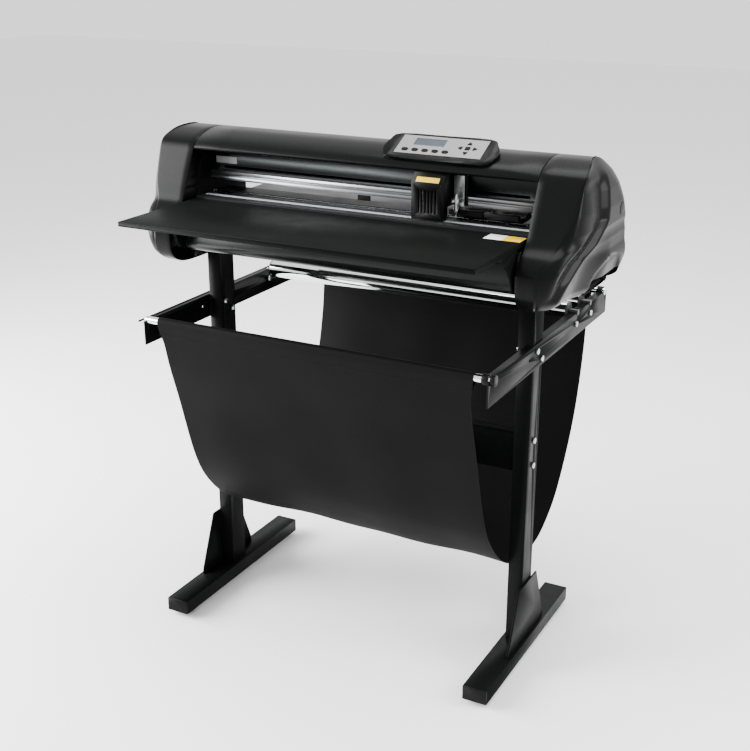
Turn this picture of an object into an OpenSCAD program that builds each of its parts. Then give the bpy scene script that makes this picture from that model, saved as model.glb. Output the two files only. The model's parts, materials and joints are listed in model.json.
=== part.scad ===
// Floor-standing vinyl cutter: a cutting machine with flat tables on a two-leg
// stand, with two media rollers and a fabric catch basket.
// +X is the machine's right, -Y its front, +Z up. The origin is on the floor, under
// the middle of the whole machine, from the front table's edge to the side arms' ends.
// The modules measure Y from the middle of the foot bars.

/* [Machine] */
// Clear width between the two end covers
opening_w = 762; // [620:1:900]
// Width over both end covers
body_w = 980; // [900:1:1180]
// Height of the machine's underside above the floor
body_z = 788; // [700:1:900]
// Wall of the moulded covers
cover_wall = 3; // [2:0.5:5]

/* [Tables] */
// Height of the cutting surface above the machine's underside
deck_rise = 130; // [128:0.5:132]
// Reach of the front table forward of the machine's centre
front_table_reach = 322; // [240:1:400]
// Reach of the rear table behind the machine's centre
rear_table_reach = 240; // [180:1:320]
// Thickness of the front table board
table_t = 10; // [6:0.5:12]

/* [Stand] */
// Distance between the centres of the two legs
leg_spacing = 722; // [560:1:740]
// Leg tube, size across the machine
leg_w = 32; // [28:1:40]
// Leg tube, size front to back
leg_d = 50; // [40:1:60]
// Length of a foot bar
foot_l = 456; // [360:1:560]
// Width of a foot bar
foot_w = 52; // [44:1:70]
// Height of a foot bar
foot_h = 30; // [24:1:40]
// Height of a levelling foot below its bar
pad_h = 11; // [8:0.5:16]
// Wall of the stand's steel tubes
tube_wall = 2; // [1.5:0.1:3]

/* [Arms] */
// Front end of the side arms
arm_front = 258; // [200:1:320]
// Rear end of the side arms
arm_rear = 408; // [340:1:460]
// Top of the side arms above the floor
arm_z = 698; // [600:1:720]
// Depth of the arm's web
arm_h = 50; // [40:1:70]
// Sheet thickness of the arms
arm_t = 3; // [2:0.5:4]
// Width of the arm's bent flange
flange_w = 14; // [12:1:18]

/* [Media rollers and basket] */
// Diameter of a media roller
roller_d = 38; // [30:1:44]
// Diameter of a media roller's axle
axle_d = 12; // [8:0.5:14]
// Diameter of a basket rod
rod_d = 16; // [12:0.5:20]
// Height of the lowest point of the basket
basket_low = 188; // [150:1:300]
// Thickness of the basket's plain fabric body
fabric_t = 3; // [2:0.5:5]

/* [Drive] */
// Diameter of the grit shaft
shaft_d = 19; // [16:0.5:20]
// Diameter of the shaft's end journals
journal_d = 10; // [8:0.5:12]
// Diameter of a pinch roller
pinch_d = 14; // [12:0.5:15]
// Pitch diameter of the belt pulleys
pulley_d = 18; // [16:0.5:20]
// Width of the tool carriage's cover
carriage_w = 68; // [56:1:80]
// Position of the carriage along the rail
carriage_x = 163; // [0:1:200]

/* [Control panel] */
// Centre of the control panel along the machine
panel_x = 166; // [100:1:200]
// Width of the panel's silver face
face_w = 180; // [160:1:190]
// Depth of the panel's silver face
face_d = 56; // [50:1:58]
// Slope of the panel's face
panel_slope = 27.5; // [26:0.5:29]

/* [Hidden] */

fine = 48;
eps = 0.01;
run_gap = 0.05;
loose_gap = 0.3;
half_open = opening_w / 2;
half_body = body_w / 2;

// Stand heights and places
foot_top = pad_h + foot_h;
leg_y = -7;
leg_x = leg_spacing / 2;
leg_out = leg_x + leg_w / 2;
leg_plate_t = 4;
base_low = body_z + 28;
gusset_t = 4;
gusset_top = foot_top + 134;
beam_h = 80;
beam_d = 30;
beam_z = 465;

// Body heights
deck_z = body_z + deck_rise;
platen_z = deck_z + 4;
plate_t = 6;
plate_in = half_open - 3 - plate_t;
plate_out = plate_in + plate_t;
shaft_y = 0;
shaft_z = platen_z + 1 - shaft_d / 2;
rail_z = deck_z + 32;
guide_h = 18;
guide_d = 13;
beam_top = rail_z + 60;
beam_depth = 56;

// Outer profile of the covers in the YZ plane: y from the centre, z above the underside
profile_points = [[-153, 34], [-156, 69], [-150, 87], [-134, 106], [-107, 128], [-88, 167],
    [-72, 203], [-57, 234], [-42, 249], [-14, 260], [18, 266], [60, 264], [102, 248],
    [136, 213], [160, 168], [170, 122], [165, 76], [148, 37], [120, 10], [80, 0], [0, 0],
    [-95, 1], [-135, 12]];
lip_index = 7;
rear_index = 14;
curve_steps = 4;

// One point on a Catmull-Rom curve from b to c
function blend(a, b, c, d, t) = 0.5 * ((2 * b) + (c - a) * t + (2 * a - 5 * b + 4 * c - d) * t * t
    + (3 * b - a - 3 * c + d) * t * t * t);
// Closed smooth curve through a list of points
function smooth_loop(p, n) = [for (i = [0 : len(p) - 1], k = [0 : n - 1])
    blend(p[(i + len(p) - 1) % len(p)], p[i], p[(i + 1) % len(p)], p[(i + 2) % len(p)], k / n)];
// Open smooth curve through a list of points
function smooth_line(p, n) = concat([for (i = [0 : len(p) - 2], k = [0 : n - 1])
    blend(p[max(i - 1, 0)], p[i], p[i + 1], p[min(i + 2, len(p) - 1)], k / n)], [p[len(p) - 1]]);
// Points moved sideways along an open line
function line_normal(p, i) = let (a = p[max(i - 1, 0)], b = p[min(i + 1, len(p) - 1)],
    d = b - a) [-d[1], d[0]] / norm(d);
function shifted(p, off) = [for (i = [0 : len(p) - 1]) p[i] + off * line_normal(p, i)];
function reversed(p) = [for (i = [len(p) - 1 : -1 : 0]) p[i]];
// Arc points round a centre
function arc(c, r, a0, a1, n) = [for (i = [0 : n]) c + r * [cos(a0 + (a1 - a0) * i / n),
    sin(a0 + (a1 - a0) * i / n)]];

cover_profile = smooth_loop(profile_points, curve_steps);

// An outline drawn in Y and Z becomes a solid from x0 to x1
module along_x(x0, x1) {
    translate([x0, 0, 0]) rotate([90, 0, 90]) linear_extrude(x1 - x0) children();
}

// A box given by its two corners
module block(a, b) {
    translate(a) cube(b - a);
}

// A cylinder along X from x0 to x1
module rod_x(x0, x1, y, z, d) {
    translate([x0, y, z]) rotate([0, 90, 0]) cylinder(h = x1 - x0, d = d, $fn = fine);
}

// A cylinder along Y from y0 to y1
module rod_y(y0, y1, x, z, d) {
    translate([x, y0, z]) rotate([-90, 0, 0]) cylinder(h = y1 - y0, d = d, $fn = fine);
}

// A cylinder along Z from z0 to z1
module rod_z(z0, z1, x, y, d) {
    translate([x, y, z0]) cylinder(h = z1 - z0, d = d, $fn = fine);
}

// Moves everything so that the origin lies midway between the frontmost and rearmost edges
module placed() {
    translate([0, (front_table_reach - arm_rear) / 2, 0]) children();
}

// Both the right-hand shape and its mirror image
module both_sides() {
    children();
    mirror([1, 0, 0]) children();
}

// ---------- stand ----------

module foot_bars() {
    color("#1c1d1f") both_sides() difference() {
        block([leg_x - foot_w / 2, -foot_l / 2, pad_h], [leg_x + foot_w / 2, foot_l / 2, foot_top]);
        block([leg_x - foot_w / 2 + tube_wall, -foot_l / 2 - 1, pad_h + tube_wall],
            [leg_x + foot_w / 2 - tube_wall, foot_l / 2 + 1, foot_top - tube_wall]);
        for (s = [-1, 1])
            rod_z(pad_h - 1, pad_h + tube_wall + 1, leg_x, s * pad_y, pad_screw_d + 0.2);
    }
}

pad_inset = 24;
pad_y = foot_l / 2 - pad_inset;
pad_screw_d = 8;
cap_lip = 4;
cap_plug = 12;

module foot_end_caps() {
    color("#111214") both_sides() for (s = [-1, 1]) scale([1, s, 1]) {
        block([leg_x - foot_w / 2, foot_l / 2, pad_h], [leg_x + foot_w / 2, foot_l / 2 + cap_lip, foot_top]);
        block([leg_x - foot_w / 2 + tube_wall, foot_l / 2 - cap_plug, pad_h + tube_wall],
            [leg_x + foot_w / 2 - tube_wall, foot_l / 2 + eps, foot_top - tube_wall]);
    }
}

pad_d = 26;

module leveling_feet() {
    color("#151515") both_sides() for (s = [-1, 1]) {
        rod_z(0, 5, leg_x, s * pad_y, pad_d);
        rod_z(5 - eps, pad_h, leg_x, s * pad_y, pad_d - 12);
        rod_z(pad_h - eps, pad_h + tube_wall + 8, leg_x, s * pad_y, pad_screw_d);
    }
}

module legs() {
    color("#1c1d1f") both_sides() {
        difference() {
            block([leg_x - leg_w / 2, leg_y - leg_d / 2, foot_top], [leg_out, leg_y + leg_d / 2, base_low]);
            block([leg_x - leg_w / 2 + tube_wall, leg_y - leg_d / 2 + tube_wall, foot_top + leg_plate_t],
                [leg_out - tube_wall, leg_y + leg_d / 2 - tube_wall, base_low - leg_plate_t]);
            for (p = leg_bolts) rod_x(leg_x - leg_w, leg_out + 1, p[0], p[1], bolt_d + 0.2);
        }
    }
}

bolt_d = 6;
arm_bolts = [[-20, arm_z - 14], [6, arm_z - 36]];
beam_bolts = [[leg_y, beam_z + 27], [leg_y, beam_z - 27]];
leg_bolts = concat(arm_bolts, beam_bolts);

// One gusset outline in Y and Z
module gusset_outline() {
    polygon([[leg_y - 98, foot_top], [leg_y + 98, foot_top], [leg_y + 98, foot_top + 10],
        [leg_y + 48, gusset_top], [leg_y - 48, gusset_top], [leg_y - 98, foot_top + 10]]);
}

module gusset_plates() {
    color("#1a1b1d") both_sides() along_x(leg_out, leg_out + gusset_t) gusset_outline();
}

module cross_beam() {
    reach = leg_x - leg_w / 2;
    color("#1a1b1d") difference() {
        block([-reach, leg_y - beam_d / 2, beam_z - beam_h / 2],
            [reach, leg_y + beam_d / 2, beam_z + beam_h / 2]);
        block([-reach + 4, leg_y - beam_d / 2 + tube_wall, beam_z - beam_h / 2 + tube_wall],
            [reach - 4, leg_y + beam_d / 2 - tube_wall, beam_z + beam_h / 2 - tube_wall]);
        for (p = beam_bolts, s = [-1, 1])
            rod_x(s * reach - 5, s * reach + 5, p[0], p[1], bolt_d + 0.2);
    }
}

head_d = 12;
head_h = 4;
rear_bolts = [[205, arm_z - 22], [297, arm_z - 22]];

// One bolt along X: a domed head outside, a plain shank and a nut inside
module bolt_x(x_seat, x_end, p) {
    rod_x(x_seat, x_seat + head_h, p[0], p[1], head_d);
    rod_x(x_end, x_seat + eps, p[0], p[1], bolt_d);
    translate([x_end - head_h, p[0], p[1]]) rotate([0, 90, 0]) cylinder(h = head_h, d = head_d, $fn = 6);
}

module stand_bolts() {
    color("#8f9396") both_sides() {
        for (p = arm_bolts) bolt_x(leg_out + arm_t, leg_x - leg_w / 2, p);
        for (p = beam_bolts) bolt_x(leg_out, leg_x - leg_w / 2 - 4, p);
        for (p = rear_bolts) bolt_x(leg_out + arm_t, leg_out, p);
    }
}

// ---------- side arms ----------

arm_in = leg_out;
arm_out = leg_out + arm_t;
roller_y = [217, 297];
rod_y_front = -246;
rod_y_rear = 394;
rod_ys = [rod_y_front, rod_y_rear];
spare_hole = [-58, arm_z - 22];
rim = 3;
roller_slot = 8;
rod_slot = 13;

// The web and its round notches
module arm_web(x0) {
    difference() {
        block([x0, -arm_front, arm_z - arm_h], [x0 + arm_t, arm_rear, arm_z]);
        for (y = roller_y) rod_x(x0 - 1, x0 + arm_t + 1, y, arm_z, axle_d + 2 * run_gap);
        for (y = rod_ys) rod_x(x0 - 1, x0 + arm_t + 1, y, arm_z, rod_d + 2 * run_gap);
        for (p = concat(arm_bolts, rear_bolts, [spare_hole]))
            rod_x(x0 - 1, x0 + arm_t + 1, p[0], p[1], bolt_d + 0.2);
    }
}

// A slot across a flange, as far as half to each side of y
module flange_slot(x0, x1, y, half) {
    block([x0, y - half, arm_z - arm_t - 1], [x1, y + half, arm_z + 1]);
}

module arm_left() {
    x0 = -arm_out;
    color("#232426") {
        arm_web(x0);
        difference() {
            block([x0 - flange_w, -arm_front, arm_z - arm_t], [x0 + eps, arm_rear, arm_z]);
            for (y = roller_y) flange_slot(x0 - flange_w + rim, x0 + 1, y, roller_slot);
            for (y = rod_ys) flange_slot(x0 - flange_w + rim, x0 + 1, y, rod_slot);
        }
    }
}

module arm_right() {
    leg_gap = 3;
    color("#232426") {
        arm_web(arm_in);
        difference() {
            block([arm_in - flange_w, -arm_front, arm_z - arm_t], [arm_in + eps, arm_rear, arm_z]);
            block([arm_in - flange_w - 1, leg_y - leg_d / 2 - leg_gap, arm_z - arm_t - 1],
                [arm_in + 1, leg_y + leg_d / 2 + leg_gap, arm_z + 1]);
            for (y = roller_y) flange_slot(arm_in - flange_w - 1, arm_in + 1, y, roller_slot);
            for (y = rod_ys) flange_slot(arm_in - flange_w - 1, arm_in + 1, y, rod_slot);
        }
    }
}

roller_wall = 1.5;
roller_left = -leg_out + 8;
roller_right = leg_out - flange_w - 6;
axle_over = 1;

// A chrome tube with a plug and an axle stub in each end
module media_roller(y) {
    color("#cfd2d4") difference() {
        rod_x(roller_left, roller_right, y, arm_z, roller_d);
        rod_x(roller_left - 1, roller_right + 1, y, arm_z, roller_d - 2 * roller_wall);
    }
    color("#151515") {
        rod_x(roller_left - 3, roller_left, y, arm_z, roller_d);
        rod_x(roller_left - eps, roller_left + 12, y, arm_z, roller_d - 2 * roller_wall);
        rod_x(-arm_out - axle_over, roller_left, y, arm_z, axle_d);
        rod_x(roller_right, roller_right + 3, y, arm_z, roller_d);
        rod_x(roller_right - 12, roller_right + eps, y, arm_z, roller_d - 2 * roller_wall);
        rod_x(roller_right, arm_out + axle_over, y, arm_z, axle_d);
    }
}

module media_roller_front() media_roller(roller_y[0]);
module media_roller_rear() media_roller(roller_y[1]);

rod_over = 1;
collar_l = 13;
collar_d = rod_d + 5;
cap_l = 9;

module basket_rods() {
    color("#cfd2d4") for (y = rod_ys)
        rod_x(-arm_out - rod_over, arm_out + rod_over, y, arm_z, rod_d);
}

// A collar inside the right arm on each rod, and an end cap on the front rod
module basket_rod_caps() {
    color("#101112") {
        for (y = rod_ys) difference() {
            rod_x(arm_in - collar_l, arm_in - loose_gap, y, arm_z, collar_d);
            rod_x(arm_in - collar_l - 1, arm_in, y, arm_z, rod_d);
        }
        difference() {
            rod_x(arm_out + loose_gap, arm_out + cap_l, rod_y_front, arm_z, collar_d);
            rod_x(arm_out, arm_out + rod_over, rod_y_front, arm_z, rod_d);
        }
    }
}

// Centre line of the basket in Y and Z, from the front rod down and up to the rear rod
sleeve_in = rod_d + 2 * loose_gap;
sleeve_out = sleeve_in + 2 * fabric_t;
sag = basket_low + fabric_t / 2;
basket_points = [[rod_y_front - sleeve_in / 2 - fabric_t / 2, arm_z], [-235, arm_z - 90], [-207, 520],
    [-160, 372], [-112, 292], [-40, 226], [40, sag + 4], [110, sag + 2], [180, 208], [262, 268],
    [346, 402], [392, 560], [rod_y_rear + sleeve_in / 2 + fabric_t / 2, arm_z]];
basket_half = leg_x - leg_w / 2 - 4;
sleeve_half = basket_half + 8;

module basket_fabric() {
    mid = smooth_line(basket_points, 3);
    color("#17181a") difference() {
        union() {
            along_x(-basket_half, basket_half)
                polygon(concat(shifted(mid, fabric_t / 2), reversed(shifted(mid, -fabric_t / 2))));
            for (y = rod_ys) rod_x(-sleeve_half, sleeve_half, y, arm_z, sleeve_out);
        }
        for (y = rod_ys) rod_x(-sleeve_half - 1, sleeve_half + 1, y, arm_z, sleeve_in);
    }
}

// ---------- machine frame ----------

base_wall = 3;
base_front = -122;
base_back = 122;
base_top = deck_z - 20;

// Outline of the base extrusion with rounded lower edges
module base_outline(inset) {
    r = 22 - inset;
    y0 = base_front + inset;
    y1 = base_back - inset;
    z0 = base_low + inset;
    z1 = base_top - inset;
    polygon(concat(arc([y0 + r, z0 + r], r, 180, 270, 6), arc([y1 - r, z0 + r], r, 270, 360, 6),
        [[y1, z1], [y0 + 18, z1], [y0, z1 - 22]]));
}

module base_beam() {
    color("#141516") difference() {
        along_x(-plate_in, plate_in) base_outline(0);
        along_x(-plate_in - 1, plate_in + 1) base_outline(base_wall);
        rod_z(base_low - 1, base_low + base_wall + 1, -knob_x, knob_y, bolt_d + 0.2);
    }
}

knob_x = 360;
knob_y = -89;
knob_d = 17;

module base_knob() {
    color("#0e0f10") {
        rod_z(base_low - 14, base_low - 1, -knob_x, knob_y, knob_d);
        rod_z(base_low - 1 - eps, base_low + base_wall + 6, -knob_x, knob_y, bolt_d);
    }
}

bearing_d = 22;
motor_y = 62;
motor_z = body_z + 64;
motor_boss_d = 22;
side_front = -100;

// Side frame outline in Y and Z
module side_outline() {
    polygon([[side_front, base_low], [118, base_low], [118, rail_z + 20], [96, beam_top + 4],
        [-20, beam_top + 4], [-44, beam_top - 20], [-62, deck_z + 20], [-64, deck_z - table_t - 6],
        [side_front, deck_z - table_t - 14]]);
}

module side_plates() {
    color("#202123") both_sides() difference() {
        along_x(plate_in, plate_out) side_outline();
        rod_x(plate_in - 1, plate_out + 1, shaft_y, shaft_z, bearing_d);
        rod_x(plate_in - 1, plate_out + 1, motor_y, motor_z, motor_boss_d + 0.4);
    }
}

beam_wall = 3;
belt_z = rail_z + 38;
pulley_x = plate_in - 24;
stub_d = 6;
belt_t = 1.4;
belt_gap = 0.3;
belt_w = 6;
belt_low = belt_z - pulley_d / 2 - belt_gap - belt_t;
carriage_belt_y = 12;
clamp_t = 2.5;
clamp_half = 14;
slot_half = 345;

// The hollow beam that holds the carriage belt, with a long slot for the belt clamp
module rail_beam() {
    color("#3a3c3e") difference() {
        block([-plate_in, 0, rail_z + guide_h], [plate_in, beam_depth, beam_top]);
        block([-plate_in - 1, beam_wall, rail_z + guide_h + beam_wall],
            [plate_in + 1, beam_depth - beam_wall, beam_top - beam_wall]);
        for (s = [-1, 1])
            rod_y(beam_depth - beam_wall - 1, beam_depth + 1, s * pulley_x, belt_z, stub_d + 2 * run_gap);
        block([-slot_half, -1, belt_low - clamp_t - 2], [slot_half, beam_wall + 1, belt_low + 1]);
    }
}

ear_t = 2.5;

// The rail, with the ears and pins that the pinch arms swing on
module guide_rail() {
    color("#a7abae") {
        difference() {
            block([-plate_in, -guide_d, rail_z], [plate_in, beam_depth, rail_z + guide_h]);
            block([-plate_in - 1, 3, rail_z + 3], [plate_in + 1, beam_depth - 3, rail_z + guide_h - 3]);
            block([-plate_in - 1, -guide_d - 1, rail_z + 7], [plate_in + 1, -guide_d + 2.5, rail_z + 11]);
        }
        for (x = pinch_x) {
            for (s = [-1, 1]) {
                x0 = x + s * (arm_w / 2 + loose_gap + ear_t / 2) - ear_t / 2;
                block([x0, hinge_y - 7, hinge_z - 5], [x0 + ear_t, hinge_y + 7, rail_z + eps]);
            }
            pin_half = arm_w / 2 + loose_gap + ear_t;
            rod_x(x - pin_half, x + pin_half, hinge_y, hinge_z, hinge_pin_d);
        }
    }
}

platen_front = -68;
platen_back = 60;
platen_t = 4;
trough_gap = 3;
trough_wall = 2;

module platen() {
    trough_y = shaft_d / 2 + trough_gap;
    under = platen_z - platen_t;
    color("#3b3d40") {
        block([-plate_in, platen_front, under], [plate_in, -trough_y, platen_z]);
        block([-plate_in, trough_y, under], [plate_in, platen_back, platen_z]);
        for (y = [platen_front, -trough_y - trough_wall, trough_y, platen_back - trough_wall])
            block([-plate_in, y, base_top], [plate_in, y + trough_wall, under + eps]);
    }
}

strip_y = -38;
strip_w = 9;
strip_t = 0.8;

module cutting_strip() {
    color("#c9ccce") block([-plate_in + 6, strip_y - strip_w / 2, platen_z],
        [plate_in - 6, strip_y + strip_w / 2, platen_z + strip_t]);
}

grit_w = 22;
groove_w = 2;
groove_depth = 0.8;
shaft_end = plate_out + 14;

// A shallow groove round the shaft, at the end of a grit band
module shaft_groove(x) {
    difference() {
        rod_x(x - groove_w / 2, x + groove_w / 2, shaft_y, shaft_z, shaft_d + 2);
        rod_x(x - groove_w, x + groove_w, shaft_y, shaft_z, shaft_d - 2 * groove_depth);
    }
}

module grit_shaft() {
    color("#b9bdc0") {
        difference() {
            rod_x(-plate_in + 2, plate_in - 2, shaft_y, shaft_z, shaft_d);
            for (x = grit_x, s = [-1, 1]) shaft_groove(x + s * (grit_w / 2 + groove_w / 2));
        }
        rod_x(-plate_out - 1, -plate_in + 2 + eps, shaft_y, shaft_z, journal_d);
        rod_x(plate_in - 2 - eps, shaft_end, shaft_y, shaft_z, journal_d);
    }
}

module shaft_bearings() {
    color("#d0d3d5") both_sides() difference() {
        rod_x(plate_in, plate_out, shaft_y, shaft_z, bearing_d);
        rod_x(plate_in - 1, plate_out + 1, shaft_y, shaft_z, journal_d + 2 * run_gap);
    }
}

motor_w = 42;
motor_l = 40;
motor_shaft_d = 5;
belt_motor_gap = 1;

// A square stepper motor along +X with its boss and no shaft
module drive_motors() {
    color("#2b2c2e") {
        difference() {
            union() {
                block([plate_in - motor_l, motor_y - motor_w / 2, motor_z - motor_w / 2],
                    [plate_in, motor_y + motor_w / 2, motor_z + motor_w / 2]);
                rod_x(plate_in - eps, plate_out, motor_y, motor_z, motor_boss_d);
            }
            rod_x(plate_in - 12, plate_out + 1, motor_y, motor_z, motor_shaft_d + 2 * run_gap);
        }
        difference() {
            block([pulley_x - motor_w / 2, beam_depth + 1, belt_z - motor_w / 2 + 4],
                [plate_in - 1, beam_depth + 1 + motor_l, belt_z + motor_w / 2 + 4]);
            rod_y(beam_depth - 1, beam_depth + 14, pulley_x, belt_z, stub_d + 2 * run_gap);
        }
    }
}

// Outline of a belt round two equal wheels, in the plane of its centres
module belt_outline(a, b, r, t) {
    ang = atan2(b[1] - a[1], b[0] - a[0]);
    difference() {
        polygon(concat(arc(a, r + t, ang + 90, ang + 270, 16), arc(b, r + t, ang - 90, ang + 90, 16)));
        polygon(concat(arc(a, r, ang + 90, ang + 270, 16), arc(b, r, ang - 90, ang + 90, 16)));
    }
}

feed_pulley_w = 8;
feed_pulley_x = plate_out + 2;

module feed_belt() {
    color("#0c0c0d") along_x(feed_pulley_x + 1, feed_pulley_x + feed_pulley_w - 1)
        belt_outline([shaft_y, shaft_z], [motor_y, motor_z], pulley_d / 2 + belt_gap, belt_t);
}

// A flanged belt pulley along X, bored for its shaft
module pulley_body(bore) {
    difference() {
        union() {
            cylinder(h = feed_pulley_w, d = pulley_d, $fn = fine);
            cylinder(h = 0.8, d = pulley_d + 4, $fn = fine);
            translate([0, 0, feed_pulley_w - 0.8]) cylinder(h = 0.8, d = pulley_d + 4, $fn = fine);
        }
        translate([0, 0, -1]) cylinder(h = feed_pulley_w + 2, d = bore, $fn = fine);
    }
}

module feed_shaft_pulley() {
    color("#9da1a4") translate([feed_pulley_x, shaft_y, shaft_z]) rotate([0, 90, 0]) pulley_body(journal_d);
}

module feed_motor_pulley() {
    color("#9da1a4") {
        translate([feed_pulley_x, motor_y, motor_z]) rotate([0, 90, 0]) pulley_body(motor_shaft_d);
        rod_x(plate_in - 10, feed_pulley_x + feed_pulley_w, motor_y, motor_z, motor_shaft_d);
    }
}

// ---------- carriage ----------

plate_back = -guide_d - 0.5;
plate_front = plate_back - 6;
carriage_left = carriage_x - carriage_w / 2;
carriage_right = carriage_x + carriage_w / 2;
tool_x = carriage_right + 14;
carriage_low = rail_z + 2;
carriage_top = beam_top + 6;

// The plate that runs along the rail, with a tongue that reaches the belt inside the beam
module carriage_plate() {
    color("#4a4c4f") difference() {
        union() {
            block([carriage_left + 3, plate_front, carriage_low], [tool_x + 14, plate_back, carriage_top - 3]);
            block([carriage_x - clamp_half, plate_back - eps, belt_low - loose_gap - clamp_t],
                [carriage_x + clamp_half, carriage_belt_y + belt_w, belt_low - loose_gap]);
        }
        for (z = [rail_z + 24, carriage_top - 12]) rod_y(plate_front - 1, plate_back + 1, tool_x, z, 4);
    }
}

cover_front = -66;
cover_low = platen_z + 5;
cover_shoulder = carriage_top - 18;
vent_w = 2;
vent_pitch = 7;
vent_count = 6;
cover_t = 2.2;
skirt_d = 20;

// Side outline of the carriage cover, set in from the outside by a wall
module carriage_outline(inset) {
    past = inset > 0 ? 1 : 0;
    y0 = cover_front + inset;
    y1 = cover_front + skirt_d - inset;
    polygon([[y0, cover_low - past], [y1, cover_low - past], [y1, carriage_low + inset],
        [plate_front + past, carriage_low + inset], [plate_front + past, carriage_top - inset],
        [cover_front + 14, carriage_top - inset], [y0, cover_shoulder - inset]]);
}

module carriage_cover() {
    color("#1b1c1e") difference() {
        along_x(carriage_left, carriage_right) carriage_outline(0);
        along_x(carriage_left + cover_t, carriage_right - cover_t) carriage_outline(cover_t);
        for (i = [0 : vent_count - 1]) {
            x = carriage_x + (i - (vent_count - 1) / 2) * vent_pitch;
            block([x - vent_w / 2, cover_front - 1, cover_low + 14],
                [x + vent_w / 2, cover_front + cover_t + 1, cover_shoulder - 14]);
        }
    }
}

slide_back = plate_front - 4;
slide_t = 3;
holder_d = 9;
holder_y = strip_y;
tool_low = rail_z + 11;
bracket_h = 7;
holder_low = tool_low - 16;

// The slide that lifts the blade, with a bracket and a thumb screw for the holder
module tool_slide() {
    face = slide_back - slide_t;
    color("#b4b7b9") difference() {
        union() {
            block([tool_x - 11, face, tool_low - 10], [tool_x + 11, slide_back, carriage_top - 6]);
            block([tool_x - 8, holder_y - 8, tool_low], [tool_x + 8, face + eps, tool_low + bracket_h]);
            rod_y(holder_y - 15, holder_y - 7, tool_x, tool_low + bracket_h / 2, 5);
            for (z = [tool_low + 22, carriage_top - 14])
                rod_y(slide_back - eps, plate_front - loose_gap, tool_x, z, 8);
        }
        rod_z(tool_low - 1, tool_low + bracket_h + 1, tool_x, holder_y, holder_d);
    }
}

// The pen-shaped holder with its blade
module blade_holder() {
    color("#d9dbdc") {
        rod_z(holder_low, tool_low + bracket_h + 3, tool_x, holder_y, holder_d);
        rod_z(tool_low + bracket_h + 3 - eps, tool_low + bracket_h + 8, tool_x, holder_y, holder_d - 3);
        rod_z(holder_low, holder_low + 5, tool_x, holder_y, holder_d + 1);
        translate([tool_x, holder_y, platen_z + 8])
            cylinder(h = holder_low - platen_z - 8 + eps, d1 = 1.6, d2 = 6, $fn = fine);
    }
}

module carriage_belt() {
    color("#0c0c0d") translate([0, carriage_belt_y + belt_w, 0]) rotate([90, 0, 0]) linear_extrude(belt_w)
        belt_outline([-pulley_x, belt_z], [pulley_x, belt_z], pulley_d / 2 + belt_gap, belt_t);
}

// A belt pulley with a stub shaft towards +Y
module belt_pulley(x, stub_end) {
    color("#9da1a4") {
        rod_y(carriage_belt_y - 1, carriage_belt_y - 1 + feed_pulley_w, x, belt_z, pulley_d);
        rod_y(carriage_belt_y - 1, stub_end, x, belt_z, stub_d);
    }
}

module belt_drive_pulley() belt_pulley(pulley_x, beam_depth + 12);
module belt_idler_pulley() belt_pulley(-pulley_x, beam_depth);

// ---------- pinch rollers ----------

arm_w = 70;
fork_w = 34;
lever_h = 4;
pinch_mid = 262.5;
pinch_x = [for (s = [-1, 1]) pinch_mid + s * (arm_w + 2 * loose_gap + ear_t) / 2];
grit_x = concat([-300, -180, -60, 60], pinch_x);
pinch_y = shaft_y;
pinch_z = platen_z + 1.2 + pinch_d / 2;
pinch_w = 12;
pinch_pin_d = 4;
hinge_y = 30;
hinge_z = pinch_z + 6;
arm_tip = -28;
lever_d = 16;
arm_bottom = pinch_z - 4;
arm_top = pinch_z + 9;
hinge_pin_d = 5;

// A wide arm that carries one roller in a fork, with a raised lever along its front
module pinch_arm(x) {
    color("#19191b") difference() {
        union() {
            block([x - arm_w / 2, arm_tip + lever_d, arm_bottom], [x + arm_w / 2, hinge_y + 6, arm_top]);
            block([x - arm_w / 2, arm_tip, arm_top - 5],
                [x + arm_w / 2, arm_tip + lever_d + eps, arm_top + lever_h]);
        }
        block([x - pinch_w / 2 - 1, pinch_y - pinch_d / 2 - 2, arm_bottom - 1],
            [x + pinch_w / 2 + 1, pinch_y + pinch_d / 2 + 2, arm_top + 1]);
        rod_x(x - fork_w / 2, x + fork_w / 2, pinch_y, pinch_z, pinch_pin_d + 2 * run_gap);
        rod_x(x - arm_w / 2 - 1, x + arm_w / 2 + 1, hinge_y, hinge_z, hinge_pin_d + 2 * run_gap);
    }
}

module pinch_arm_left() pinch_arm(pinch_x[0]);
module pinch_arm_right() pinch_arm(pinch_x[1]);

// A rubber roller on its pin
module pinch_roller(x) {
    color("#2e2f31") rod_x(x - pinch_w / 2, x + pinch_w / 2, pinch_y, pinch_z, pinch_d);
    color("#2e2f31") rod_x(x - fork_w / 2 + 1, x + fork_w / 2 - 1, pinch_y, pinch_z, pinch_pin_d);
}

module pinch_roller_left() pinch_roller(pinch_x[0]);
module pinch_roller_right() pinch_roller(pinch_x[1]);

// ---------- covers ----------

function raised(p) = [p[0], p[1] + body_z];
function index_of(i) = i * curve_steps;
top_line = [for (i = [index_of(lip_index) : index_of(rear_index)]) raised(cover_profile[i])];

module top_cover() {
    inner = shifted(top_line, -cover_wall);
    color("#1a1b1d") along_x(-half_open, half_open) polygon(concat(top_line, reversed(inner)));
}

// Front view of an end cover: distance in from its outer face, height above the underside
end_points = [[60, 0], [42, 12], [32, 38], [26, 64], [18, 96], [4, 126], [0, 152], [0, 177],
    [3, 213], [12, 238], [28, 255], [50, 264], [70, 268]];
// Corners of an end cover seen from above
plan_front_r = 42;
plan_rear_r = 45;
plan_front = -160;
plan_rear = 174;
side_reach = 300;

// A closed loop of points moved inwards
function inset_loop(p, d) = let (n = len(p)) [for (i = [0 : n - 1])
    let (t = p[(i + 1) % n] - p[(i + n - 1) % n]) p[i] - d * [-t[1], t[0]] / norm(t)];

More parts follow.
